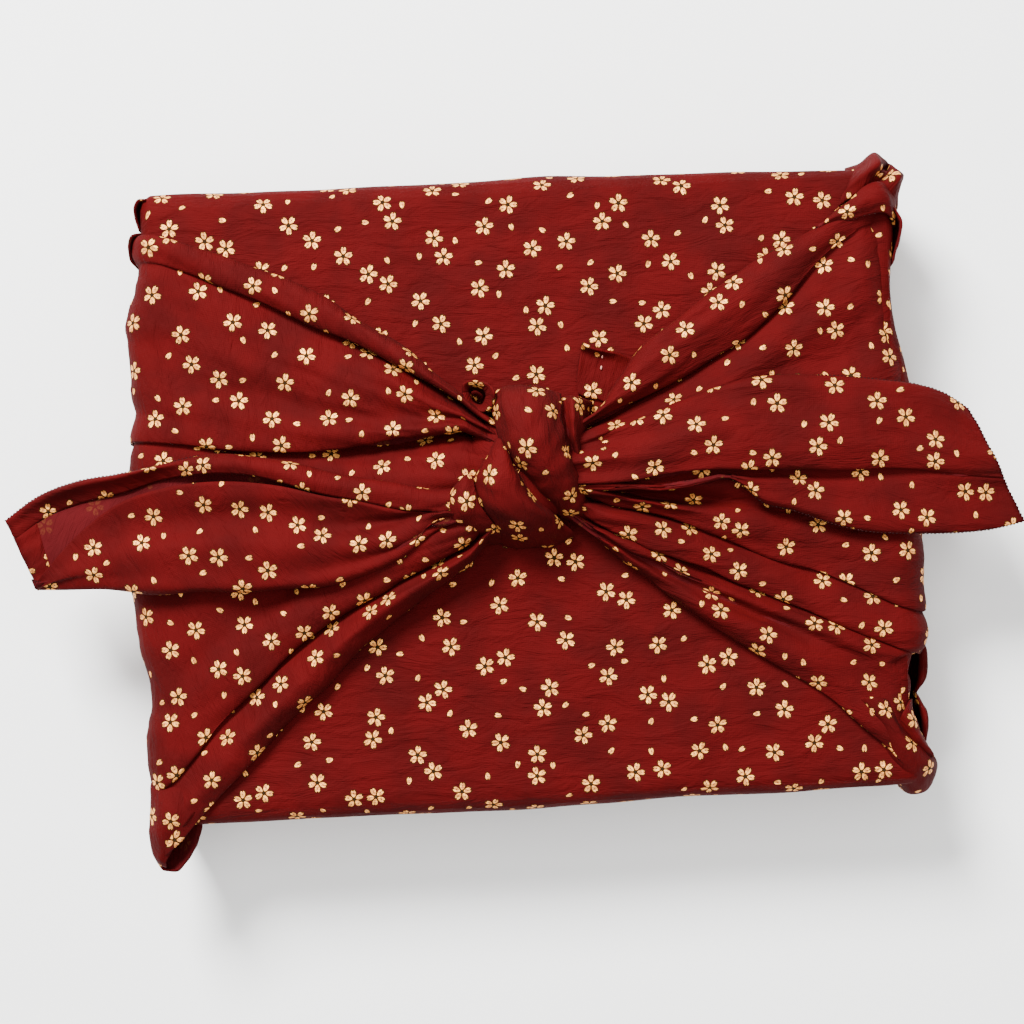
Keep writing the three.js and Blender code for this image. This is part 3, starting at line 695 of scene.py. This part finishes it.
OPEN_CONE = (
    ((-18.4, 33, 49), (-18.2, 35, 49), (-16.4, 35.6, 49), (-14, 35, 50), (-11, 34.5, 54),
     (-9.5, 32, 58), (-10, 29, 56), (-13.5, 27, 51), (-16.8, 28.6, 49), (-18.4, 33, 49)),
    ((-18.8, 33, 60), (-18.5, 35.2, 61), (-16.5, 36, 62), (-14, 35.4, 64), (-11.5, 34, 66),
     (-10.5, 32, 67), (-10.8, 29.6, 65.5), (-13.5, 27.4, 62.5), (-17, 28.8, 60.5), (-18.8, 33, 60)),
    ((-18, 33, 59.5), (-17.8, 34.6, 60), (-16.4, 35.2, 61), (-14.2, 34.6, 62.5), (-12.3, 33.4, 64),
     (-11.5, 31.8, 64.5), (-11.8, 30.2, 63.5), (-13.7, 28.3, 61), (-16.4, 29.5, 59.5), (-18, 33, 59.5)),
    ((-17.5, 33, 53), (-17.2, 34.2, 53), (-16, 34.4, 53), (-14.4, 34, 53), (-13, 33, 53),
     (-12.4, 31.8, 53), (-12.6, 30.6, 53), (-14, 29.4, 53), (-16, 30.4, 53), (-17.5, 33, 53)),
    ((-16.8, 33, 49), (-16.6, 33.6, 49), (-15.8, 33.8, 49), (-14.8, 33.4, 49), (-13.8, 32.8, 49),
     (-13.4, 31.8, 49), (-13.6, 31, 49), (-14.4, 30.2, 49), (-15.6, 31, 49), (-16.8, 33, 49)),
)

NEAR_CORNER = (
    ((18, 46.5, 51.5), (21, 45, 51.5), (24.5, 44, 51), (29.5, 43, 50), (33.5, 41, 48)),
    ((17.5, 44.5, 48.5), (20.5, 43.5, 48.5), (24.5, 42.5, 48.5), (29, 40.5, 48.5), (32.5, 38.5, 48)),
    ((17, 41, 49), (20, 40, 48), (24, 39, 48), (28, 37, 48), (31.5, 35, 48)),
    ((16, 36.5, 48.5), (19.5, 35.5, 48), (23, 34, 48), (26.5, 32.5, 48), (29.5, 30.5, 48)),
    ((16, 31.5, 48), (19, 30, 48), (22, 29.5, 48), (25, 28, 48), (27.5, 27, 48)),
)


def add_core(rows=18, sides=28):
    """Adds the crushed cloth inside the knot, a ball closed at its ends."""
    tilt = np.linspace(-math.pi / 2 + 0.05, math.pi / 2 - 0.05, rows)[:, None]
    turn = np.linspace(0, 2 * math.pi, sides, endpoint=False)[None]
    rings = KNOT + CORE_RADII * np.stack([
        np.cos(tilt) * np.cos(turn), np.cos(tilt) * np.sin(turn), np.sin(tilt) + 0 * turn,
    ], -1)
    number = np.arange(rows * sides).reshape(rows, sides)
    spots = np.stack(np.meshgrid(np.arange(rows) * 2.4, np.arange(sides + 1) * 3.6 + 300, indexing="ij"), -1)
    faces, places = [], []
    for i in range(rows - 1):
        for j in range(sides):
            k = (j + 1) % sides
            faces.append([number[i, j], number[i, k], number[i + 1, k], number[i + 1, j]])
            places.append([spots[i, j], spots[i, j + 1], spots[i + 1, j + 1], spots[i + 1, j]])
    faces += [number[0, ::-1].tolist(), number[-1].tolist()]
    places += [list(spots[0, :sides][::-1]), list(spots[-1, :sides])]
    add_faces(rings.reshape(-1, 3), faces, places, PRINTED)


add_core()
add_net(through(CROSSING_BAND, (84, 44)), (50, 300), 51, fine=0.22)
add_net(through(TURN_UNDER_IT, (64, 48)), (110, 300), 52, fine=0.22)
add_net(through(LEFT_LOOP, (56, 36)), (170, 300), 53, fine=0.22)
add_net(through(RIGHT_STRIP, (48, 44)), (230, 300), 54, fine=0.22)
add_net(through(OPEN_CONE, (36, 56)), (290, 300), 55)
near_corner = through(NEAR_CORNER, (30, 30))
add_net(near_corner, (350, 300), 56, fine=0.08)


# ---------------------------------------------------------------- free ends
# The left free end is folded lengthwise: its far edge is rolled over, its lower layer runs to the
# fold on the near side, and its front layer comes back over it. The right one is folded on the far
# side, and a valley runs along it beside its near edge. Stations run out from the knot.

LEFT_END = (
    # x, back, front, fold, z, open, lip, lead
    (-14, 5, -4, -5, 59, 3, 7, 0),
    (-28, 4, -3.5, -8.5, 58, 3.5, 7, 0),
    (-42, 7, -1.5, -17, 56, 4, 8, 0),
    (-60, 11, 2.6, -22.5, 54.5, 4.8, 8, 0),
    (-78, 15.3, 7.6, -24.4, 53, 5.6, 6.4, 0),
    (-96, 17.6, 9.6, -24.4, 51.6, 5.8, 5.4, 0),
    (-112, 16, 8.4, -23.8, 50.4, 5.2, 5, 0),
    (-126, 13.2, 4.2, -22.6, 49.4, 4, 5.8, -1),
    (-138, 11, -4.3, -21.9, 48.2, 2.8, 6.5, -3),
    (-148, 6.5, -14, -21.3, 46.6, 2, 6.8, -6),
    (-154, 1, -19.5, -21, 45, 1.4, 6.8, -9),
)

RIGHT_END = (
    # x, edge, valley, fold, z, open, width of the valley, lead
    (12, 1.5, 4, 18, 59, 4, 0.8, 0),
    (24, 1.2, 4.2, 20.5, 58, 4.5, 1.2, 0),
    (32, 1.4, 4.6, 22.2, 57, 5, 2.4, 0),
    (40, 0, 5.4, 25, 56, 5.2, 3.4, 0),
    (46, 0.6, 5.9, 27.4, 55.3, 5.2, 3.6, 0),
    (53, 2.1, 6.3, 29.9, 54.8, 5.2, 3, 0),
    (60, 3, 6.4, 31.6, 54.2, 5, 2.4, 0),
    (65, 0.6, 6, 32.6, 54, 5, 2.6, 0),
    (70, -4.6, 5.8, 33.2, 53.4, 5, 2.8, 0.7),
    (77, -7.4, 5.5, 33.6, 52.8, 4.8, 2.8, 1.4),
    (85, -10.8, 5, 33.8, 52.1, 4.6, 2.6, 2),
    (98, -15, 3.4, 33, 51.4, 4.2, 2.2, 4),
    (110, -16.8, 1.9, 31.2, 50.6, 3.8, 1.6, 7),
    (121, -17, 0.6, 29.2, 49.6, 3.2, 1, 11),
    (130, -16.2, -0.6, 25.8, 48.4, 2.4, 0.6, 13.5),
    (136.5, -14.6, -1.6, 21.2, 47.2, 2, 0.4, 15.5),
)

HEM = 7.0
END_COLUMNS = 84
END_ROWS = 100


def left_section(spots, back, front, fold, z, gap, lip_width):
    """From the far hem over the lower layer, round the near fold, and back over the front layer."""
    low, high = z, z + gap + 2 * THICKNESS
    turn = np.minimum(1.6, (back - fold) * 0.12)
    # The far hem is a roll over the parcel, leans in beyond its rim, and lies flat at the tip.
    tilt = np.clip((spots - 100) / 16, 0, 1) * np.clip((158 - spots) / 16, 0.3, 1)
    rolled = np.clip((146 - spots) / 32, 0.3, 1.5) * (1 - tilt)
    hollow = np.clip((150 - spots) / 40, 0.2, 1)       # of the front layer, beside its edge
    return (
        (back - lip_width, low + 0.3 + 3.4 * rolled + 0.2 * tilt),
        (back - lip_width * 0.5, low + 0.3 + 4.2 * rolled + 2.8 * tilt),
        (back - turn * 0.5, low + 0.2 + 3.4 * rolled + 5.4 * tilt),
        (back, low + 1.4 + 1.6 * tilt),
        (back - turn, low + 0.3),
        ((back * 2 + fold) / 3, low),
        ((back + fold * 2) / 3, low),
        (fold + turn, low),
        (fold + turn * 0.2, low + gap * 0.25),
        (fold, low + gap * 0.55),
        (fold + turn * 0.5, low + gap * 0.95),
        (fold + turn * 2.2, high - 0.8),
        ((fold * 2 + front) / 3, high + 0.2),
        ((fold + front * 2) / 3, high - 2.0 * hollow),
        (front, high + 0.9 * hollow - gap * 0.2),
    )


def right_section(spots, edge, valley, fold, z, gap, width):
    """From the near edge down into the valley, over the front layer, round the fold and back under."""
    top = z + gap
    turn = 1.6
    near = valley - width
    shallow = np.clip((spots - 90) / 28, 0, 1)         # the valley softens towards the tip
    floor_lift = shallow * gap * 0.4
    return (
        (edge, z + gap * 0.5),
        (edge * 0.84 + near * 0.16, top - 0.7),
        (edge * 0.55 + near * 0.45, top - 1.3),
        (edge * 0.15 + near * 0.85, top - 1.0),
        (near + 0.3, z + 1.4 + floor_lift),
        (valley + 0.5, z + 1.2 + floor_lift),
        (valley + 0.2 + shallow * 0.7, z + 2.8),
        (valley - 0.6 + shallow * 2.2, top + 0.4 + shallow * 0.4),
        (valley + 3, top + 1.8),
        (valley * 0.5 + fold * 0.5, top + 1.2),
        (fold - turn * 2, top - 0.2),
        (fold - turn * 0.4, top - gap * 0.3),
        (fold, top - gap * 0.6),
        (fold - turn, z - 0.2),
        (valley * 0.4 + fold * 0.6, z - 0.4),
        (valley * 0.9 + fold * 0.1, z - 0.2),
    )


def free_end(table, section, front_from, gathers, seed, shift):
    """Adds a free end and returns its points, their flat places, and how far round each column and
    each point of the profile lies. Front_from is the point where the front layer starts, and which
    way that runs. Gathers on it have a height, a number, a phase and how far out they reach."""
    table = np.array(table, float)
    way = np.sign(table[0, 0])
    stations = table[:, 0] * way
    spots = np.linspace(stations[0], stations[-1], END_ROWS)
    x, *values, lead = smooth(stations, table, spots).T
    profile = np.array(section(spots, *values)).swapaxes(1, 2)
    lengths = np.hypot(*np.moveaxis(np.diff(profile, axis=0), -1, 0)).mean(1) + 0.3
    knots = np.concatenate([[0], np.cumsum(lengths)])
    around = np.linspace(0, knots[-1], END_COLUMNS)
    y, height = smooth(knots, profile, around).transpose(2, 1, 0)
    fold, free = values[2], values[0]
    across = np.clip((y - fold[:, None]) / (free - fold)[:, None], 0, 1)
    first, front_way = front_from
    on_front = np.clip((around[None] - knots[first]) * front_way / 4, 0, 1)
    rise, count, phase, fade = gathers
    fade = np.exp((spots[0] - spots[:, None]) / fade)
    height = height + on_front * fade * rise * np.cos(across * 2 * math.pi * count + phase)
    grid = np.stack([x[:, None] + lead[:, None] * across, y, height], -1)
    fine = 0.3 * waves(np.stack([grid[..., 0] / 5, across * 40], -1), 9, seed)
    broad = 0.5 * waves(grid[..., :2], 34, seed + 1)
    grid = grid + facing(grid) * ((fine + broad) * 0.8)[..., None]
    start = np.stack(np.meshgrid(spots * way, around, indexing="ij"), -1)
    flat = flatten(grid, start, (50, 44), 60) + shift
    add_layer(grid, flat, flip=way < 0)
    return grid, flat, around, knots


left_end_grid, left_flat, around, knots = free_end(
    LEFT_END, left_section, (10, 1), (2.4, 2.6, 0.6, 60), 61, (0, 500))
# The hem across the tip is turned up on to the wrong side of the lower layer.
reach = np.linspace(-LEFT_END[0][0], -LEFT_END[-1][0], END_ROWS)
hem = np.ix_(reach > reach[-1] - HEM, (around > knots[4] - 1) & (around < knots[8]))
add_layer(left_end_grid[hem] + (0, 0, 1.0), left_flat[hem] + (17, 31), 0.7, coarse=1)
right_end_grid, *_ = free_end(
    RIGHT_END, right_section, (11, -1), (1.6, 2.2, 0, 40), 71, (0, 600))


# ---------------------------------------------------------------- hidden layers
# Inside, the near and far sides overlap across the whole top, and their spare cloth lies folded
# against the two end walls.


def hidden_layers():
    x = np.linspace(-HALF_X + 5, HALF_X - 5, 16)
    y = np.linspace(-HALF_Y + 5, HALF_Y - 5, 14)
    for layer in range(3):
        height = TOP - WALL - LAYER_GAP * (layer + 1)
        grid = np.stack(np.broadcast_arrays(x[:, None], y, height), -1)
        add_layer(grid, grid[..., :2] + (0, 800), coarse=1)
    z = np.linspace(4, TOP - 6, 5)
    for side in (-1, 1):
        for layer in range(2):
            wall = side * (HALF_X - WALL - LAYER_GAP * (layer + 1))
            grid = np.stack(np.broadcast_arrays(wall, y[:, None], z), -1)
            add_layer(grid, grid[..., 1:] + (0, 1000), coarse=1, flip=side < 0)


hidden_layers()


# ---------------------------------------------------------------- the cloth's mesh
# All the layers become one mesh, with the flat cloth's places as its texture coordinates.

MM = 0.001


def make_cloth():
    mesh = bpy.data.meshes.new("wrapping_cloth")
    points = np.concatenate(cloth_points) * MM
    mesh.from_pydata(points.tolist(), [], cloth_faces)
    mesh.polygons.foreach_set("use_smooth", [True] * len(mesh.polygons))
    mesh.polygons.foreach_set("material_index", cloth_sides)
    flat = mesh.uv_layers.new(name="flat_cloth")
    spots = np.concatenate([np.asarray(face, float).reshape(-1, 2) for face in cloth_flat]) * MM
    flat.data.foreach_set("uv", spots.ravel())
    mesh.update()
    return placed("wrapping_cloth", mesh)


cloth = make_cloth()


# ---------------------------------------------------------------- finish of the cloth
# The print: gold five-petalled blossoms and loose petals, strewn over a deep red ground. The flat
# cloth is divided into square cells in staggered rows, and each cell holds two blossoms, which in
# about a third of the cells touch, and one or two loose petals, turned and placed by the cell's draw.

CELL = 19.2
PRINT_TURN = math.radians(37)
BLOSSOM_NEAR, BLOSSOM_SPREAD = 3.4, 2.9    # distance of a blossom from its cell's middle
BLOSSOM_SWING = 1.2             # range of the second one's place round the cell, in radians
PETAL_NEAR, PETAL_SPREAD = 4.8, 3.2         # distance of a loose petal from it
PAIRED_SHARE = 0.34
SECOND_PETAL_SHARE = 0.7
BLOSSOM_TURNS, PETAL_TURNS = 6.3, 12.0      # the most that a motif is turned, in radians
PETAL_PLACE, PETAL_LONG, PETAL_WIDE = 1.78, 1.14, 0.75
PETAL_TAPER = 0.2               # a petal is widest towards its outer end
LOOSE_SMALLER = 1.06            # a loose petal is this much smaller than a blossom's
PETAL_GAP = 0.42                # from one petal to the next
NOTCH_PLACE, NOTCH_SLOPE = 2.42, 0.7
EYE_PLACE, EYE_LONG, EYE_WIDE = 1.88, 0.3, 0.12    # the dark fleck in a petal
OUTLINE = 0.24
CENTRE_REACH = 0.6              # the dark middle of a blossom
CENTRE_DEPTH = 0.14             # less than the outline, so that the middle is all outline
WEAVE = 0.56                    # distance from one thread to the next
CRINKLE_HEIGHT, THREAD_HEIGHT = 0.0013, 0.00022    # in metres

GROUND, SHADE = (0.056, 0.0003, 0.0006), (0.038, 0.0002, 0.0004)
WRONG_GROUND, WRONG_SHADE = (0.056, 0.0022, 0.0032), (0.045, 0.0016, 0.0024)
SHOWS_THROUGH = 0.025           # share of the print that shows on the wrong side
# The gold ink: bright gold where a painted glint lies on it, dull gold elsewhere. The change also stands for
# the ink's own uneven tone.
GLINTING_GOLD, DULL_GOLD = (0.94, 0.41, 0.098), (0.5, 0.175, 0.043)
OUTLINE_COLOUR = (0.016, 0.0075, 0.001)


def connect(tree, value, socket):
    """Links a node's output to an input, or sets the input to a number, a vector or a colour."""
    if isinstance(value, Output):
        tree.links.new(value.socket, socket)
    else:
        socket.default_value = (*value, 1) if socket.type == "RGBA" else value


def node(tree, kind, *values, output=0, **named):
    """Adds a node and gives one of its outputs. Settings are named before inputs, which have capitals."""
    added = tree.nodes.new(kind)
    for name, value in named.items():
        if name.islower():
            setattr(added, name, value)
        else:
            connect(tree, value, added.inputs[name.replace("_", " ")])
    for value, socket in zip(values, added.inputs):
        connect(tree, value, socket)
    return Output(tree, added.outputs[output])


class Output:
    """A node's output, on which sums are written with the usual signs."""

    def __init__(self, tree, socket):
        self.tree, self.socket = tree, socket

    def maths(self, operation, *values):
        return node(self.tree, "ShaderNodeMath", self, *values, operation=operation)

    def vector(self, operation, *values, output=0):
        return node(self.tree, "ShaderNodeVectorMath", self, *values, operation=operation, output=output)

    def parts(self, kind="XYZ"):
        split = node(self.tree, "ShaderNodeSeparate" + kind, self).socket.node
        return [Output(self.tree, socket) for socket in split.outputs]

    def __add__(self, other):
        return self.maths("ADD", other)

    def __sub__(self, other):
        return self.maths("SUBTRACT", other)

    def __rsub__(self, other):
        return self.maths("MULTIPLY_ADD", -1.0, other)

    def __mul__(self, other):
        return self.maths("MULTIPLY", other)

    def __truediv__(self, other):
        return self.maths("DIVIDE", other)


def step_up(value, low, high):
    """0 below low, 1 above high, smooth between them."""
    return node(value.tree, "ShaderNodeMapRange", interpolation_type="SMOOTHSTEP", output="Result",
                Value=value, From_Min=low, From_Max=high)


def mixed(factor, *colours):
    mix = factor.tree.nodes.new("ShaderNodeMix")
    mix.data_type = "RGBA"
    connect(factor.tree, factor, mix.inputs["Factor"])
    for colour, socket in zip(colours, [socket for socket in mix.inputs if socket.type == "RGBA"]):
        connect(factor.tree, colour, socket)
    return Output(factor.tree, next(socket for socket in mix.outputs if socket.type == "RGBA"))


def noise(place, **settings):
    return node(place.tree, "ShaderNodeTexNoise", output="Fac", Vector=place, **settings)


def add_sockets(group, way, **kinds):
    for name, kind in kinds.items():
        group.interface.new_socket(name, in_out=way, socket_type="NodeSocket" + kind)


def motif_group(name, petals):
    """One printed motif round a place: how far inside its petals a point of the cloth is."""
    group = bpy.data.node_groups.new(name, "ShaderNodeTree")
    add_sockets(group, "INPUT", Place="Vector", Turn="Float")
    add_sockets(group, "OUTPUT", Inside="Float")
    place, turn, *_ = (Output(group, socket) for socket in group.nodes.new("NodeGroupInput").outputs)
    turned = node(group, "ShaderNodeVectorRotate", rotation_type="Z_AXIS", Vector=place, Angle=turn)
    x, y, _ = turned.parts()
    if petals > 1:
        reach = turned.vector("LENGTH", output=1)
        angle = y.maths("ARCTAN2", x).maths("WRAP", math.pi / petals, -math.pi / petals)
        along = reach * angle.maths("COSINE")
        aside = (reach * angle.maths("SINE")).maths("ABSOLUTE")
    else:
        along = x * LOOSE_SMALLER + PETAL_PLACE
        aside = y.maths("ABSOLUTE") * LOOSE_SMALLER

    def oval(place, long, wide):
        """How far out a point is in an oval, which ends at 1."""
        long, wide = ((along - place) / long).maths("ABSOLUTE"), aside / wide
        return (long.maths("POWER", 2.0) + wide.maths("POWER", 2.0)).maths("SQRT")

    taper = (along - PETAL_PLACE) / PETAL_LONG * PETAL_TAPER + 1.0
    inside = (1.0 - oval(PETAL_PLACE, PETAL_LONG, taper * PETAL_WIDE)) * PETAL_WIDE
    notch = aside - (along - NOTCH_PLACE) * NOTCH_SLOPE
    border = along * math.sin(math.pi / 5) - aside * math.cos(math.pi / 5) - PETAL_GAP / 2
    eye = (oval(EYE_PLACE, EYE_LONG, EYE_WIDE) - 1.0) * EYE_WIDE
    for limit in (notch, border, eye):
        inside = inside.maths("MINIMUM", limit)
    if petals > 1:
        inside = inside.maths("MAXIMUM", (CENTRE_REACH - reach).maths("MINIMUM", -CENTRE_DEPTH))
    connect(group, inside, group.nodes.new("NodeGroupOutput").inputs["Inside"])
    return group


blossom_group = motif_group("blossom", 5)
petal_group = motif_group("loose_petal", 1)


def cell_draw(cell, seed):
    """Three numbers from 0 to 1 that a cell draws."""
    moved = cell.vector("ADD", (0.5 + 17.0 * seed, 0.5 + 5.0 * seed, seed))
    return node(cell.tree, "ShaderNodeTexWhiteNoise", output="Color", Vector=moved).parts("Color")


def motif_at(group, local, angle, reach, turn):
    """A motif in its cell, at an angle and a reach from the cell's middle."""
    centre = node(local.tree, "ShaderNodeCombineXYZ",
                  X=angle.maths("COSINE") * reach, Y=angle.maths("SINE") * reach)
    return node(local.tree, "ShaderNodeGroup", node_tree=group, output="Inside",
                Place=local.vector("SUBTRACT", centre), Turn=turn)


def strewn_print(flat):
    """How far inside a printed motif each point of the flat cloth is, in mm."""
    turned = node(flat.tree, "ShaderNodeVectorRotate", rotation_type="Z_AXIS", Vector=flat, Angle=PRINT_TURN)
    x, y, _ = turned.vector("MULTIPLY", (1 / CELL, 1 / CELL, 0)).parts()
    shifted = node(flat.tree, "ShaderNodeCombineXYZ", X=y.maths("FLOOR") * 0.5 + x, Y=y)
    cell = shifted.vector("FLOOR")
    local = shifted.vector("SUBTRACT", cell).vector("SUBTRACT", (0.5, 0.5, 0))
    local = local.vector("MULTIPLY", (CELL, CELL, 0))
    draw = [number for seed in (1, 2, 3) for number in cell_draw(cell, seed)]
    angle = draw[0] * (2 * math.pi)
    loose = draw[1].maths("GREATER_THAN", PAIRED_SHARE)
    near, far = (loose * number * BLOSSOM_SPREAD + BLOSSOM_NEAR for number in draw[2:4])
    across = angle + math.pi + (draw[4] - 0.5) * (loose * BLOSSOM_SWING)
    petal_reach, second_reach = (number * PETAL_SPREAD + PETAL_NEAR for number in (draw[7], draw[6]))
    second = motif_at(petal_group, local, angle - math.pi / 2, second_reach, draw[2] * PETAL_TURNS)
    absent = draw[4].maths("GREATER_THAN", SECOND_PETAL_SHARE) * 5.0
    inside = second - absent
    for motif in (
        motif_at(blossom_group, local, angle, near, draw[5] * BLOSSOM_TURNS),
        motif_at(blossom_group, local, across, far, draw[6] * BLOSSOM_TURNS),
        motif_at(petal_group, local, angle + math.pi / 2, petal_reach, draw[8] * PETAL_TURNS),
    ):
        inside = inside.maths("MAXIMUM", motif)
    return inside


def cotton(name, ground, shade, print_share):
    """Plain woven cotton, dyed, with the strewn print."""
    material = finish(name, ground, specular=0.08)
    tree = material.node_tree
    flat = node(tree, "ShaderNodeUVMap", uv_map="flat_cloth").vector("MULTIPLY", (1000, 1000, 0))
    inside = strewn_print(flat)
    petal = step_up(inside, -0.05, 0.05) * print_share
    outline = step_up(inside, -OUTLINE - 0.06, -OUTLINE + 0.08) * (0.92 * print_share)

    red = mixed(step_up(noise(flat, Scale=0.055, Detail=3.0), 0.35, 0.68), ground, shade)
    across, along = (
        node(tree, "ShaderNodeTexWave", wave_type="BANDS", bands_direction=way, output="Fac", Vector=flat,
             Scale=math.pi / 10 / WEAVE, Distortion=1.1, Detail=2.0, Detail_Scale=1.6)
        for way in ("X", "Y")
    )
    slubs = noise(flat.vector("MULTIPLY", (0.12, 1.3, 1)), Scale=1.0, Detail=3.0)
    weave = slubs * 0.7 + along * 0.6 + across * 0.4
    red = mixed(step_up(weave, 0.45, 1.2) * 0.28, red, shade)
    # Painted glints on the gold ink: a noise sets bright gold against dull gold, partly the ink's own uneven
    # tone.
    gold_with_painted_glints = mixed(step_up(noise(flat, Scale=0.9, Detail=2.0), 0.38, 0.62), DULL_GOLD, GLINTING_GOLD)

    # Soft crinkles some millimetres apart, then the threads and the print's thickness on them.
    crinkle = noise(flat.vector("MULTIPLY", (0.07, 0.2, 1)), Scale=1.0, Detail=4.0, Roughness=0.6,
                    Distortion=0.7)
    crinkled = node(tree, "ShaderNodeBump", Strength=1.0, Distance=CRINKLE_HEIGHT, Height=crinkle)
    inputs = {
        "Base Color": mixed(petal, mixed(outline, red, OUTLINE_COLOUR), gold_with_painted_glints),
        "Roughness": petal * -0.36 + 0.84,
        "Metallic": petal * 0.35,
        "Normal": node(tree, "ShaderNodeBump", Strength=0.6, Distance=THREAD_HEIGHT,
                       Height=petal * 0.12 + weave * 0.35, Normal=crinkled),
    }
    for name, value in inputs.items():
        connect(tree, value, tree.nodes["Principled BSDF"].inputs[name])
    return material


cloth.data.materials.append(cotton("printed_cotton", GROUND, SHADE, 1.0))
cloth.data.materials.append(cotton("cotton_wrong_side", WRONG_GROUND, WRONG_SHADE, SHOWS_THROUGH))

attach(cloth, "root")
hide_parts("furoshiki_cloth")


# ---------------------------------------------------------------- stitches
# Dark red thread whips the edges of both free ends. The near flap's corner, beside the knot, shows
# a pale end of the hem's thread. Each run is a line of points that lies on the cloth.

WHIP = {"Pitch": 1.2, "Length": 0.8, "Width": 0.5}
RUNNING = {"Pitch": 1.9, "Length": 1.1, "Width": 0.5}
LEAST_SIZE, MOST_SIZE = 0.8, 1.15          # of a stitch, beside the usual one


def stitch_group():
    """Geometry Nodes that lay one stitch after another along each line."""
    group = bpy.data.node_groups.new("stitches_along_lines", "GeometryNodeTree")
    add_sockets(group, "INPUT", Geometry="Geometry", Pitch="Float", Length="Float", Width="Float",
                Thread="Material")
    add_sockets(group, "OUTPUT", Geometry="Geometry")
    sockets = group.nodes.new("NodeGroupInput").outputs
    lines, pitch, length, width, thread, *_ = (Output(group, socket) for socket in sockets)
    places = node(group, "GeometryNodeCurveToPoints", mode="LENGTH", output="Points", Curve=lines,
                  Length=pitch)
    rotation = Output(group, places.socket.node.outputs["Rotation"])
    bead = node(group, "GeometryNodeMeshUVSphere", Segments=8, Rings=6, Radius=0.5)
    size = node(group, "ShaderNodeCombineXYZ", width, width, length)
    uneven = node(group, "FunctionNodeRandomValue", data_type="FLOAT", output=1, Seed=5)
    uneven.socket.node.inputs[2].default_value = LEAST_SIZE
    uneven.socket.node.inputs[3].default_value = MOST_SIZE
    scale = node(group, "ShaderNodeVectorMath", size, operation="SCALE", Scale=uneven)
    stitches = node(group, "GeometryNodeInstanceOnPoints", Points=places, Rotation=rotation, Instance=bead,
                    Scale=scale)
    real = node(group, "GeometryNodeRealizeInstances", stitches)
    dyed = node(group, "GeometryNodeSetMaterial", Geometry=real, Material=thread)
    connect(group, dyed, group.nodes.new("NodeGroupOutput").inputs["Geometry"])
    return group


stitches_along_lines = stitch_group()


def stitched(name, lines, sizes, material):
    data = bpy.data.curves.new(name + "_lines", "CURVE")
    data.dimensions = "3D"
    for line in lines:
        spline = data.splines.new("POLY")
        spline.points.add(len(line) - 1)
        spline.points.foreach_set("co", np.pad(line * MM, ((0, 0), (0, 1)), constant_values=1).ravel())
    holder = placed(name + "_lines", data)
    maker = holder.modifiers.new("stitches", "NODES")
    maker.node_group = stitches_along_lines
    for socket in stitches_along_lines.interface.items_tree:
        if socket.name in sizes:
            maker[socket.identifier] = sizes[socket.name] * MM
        elif socket.name == "Thread":
            maker[socket.identifier] = material
    bpy.context.view_layer.update()
    mesh = bpy.data.meshes.new_from_object(holder.evaluated_get(bpy.context.evaluated_depsgraph_get()))
    mesh.polygons.foreach_set("use_smooth", [True] * len(mesh.polygons))
    piece = placed(name, mesh)
    bpy.data.objects.remove(holder)
    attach(piece, "root")
    return piece


def outer_line(grid, rows, way):
    """The line of a free end's outermost points in y, from the rows given."""
    picks = (grid[rows, :, 1] * way).argmax(1)
    return grid[rows, picks]


tip_rows = np.arange(62, END_ROWS)
whip = stitched("hem_whip_stitches", [
    outer_line(left_end_grid, tip_rows, 1),
    left_end_grid[-1, 14:],
    outer_line(right_end_grid, tip_rows, 1),
    right_end_grid[-1, :56],
    right_end_grid[30:, 0],
], WHIP, finish("dark_red_thread", (0.014, 0.0006, 0.0009), specular=0.08))
corner_line = near_corner[6:13, 13] + (0, 0, 0.3)
running = stitched("hem_running_stitches", [corner_line], RUNNING,
                   finish("pale_thread", (0.5, 0.22, 0.17), specular=0.08))
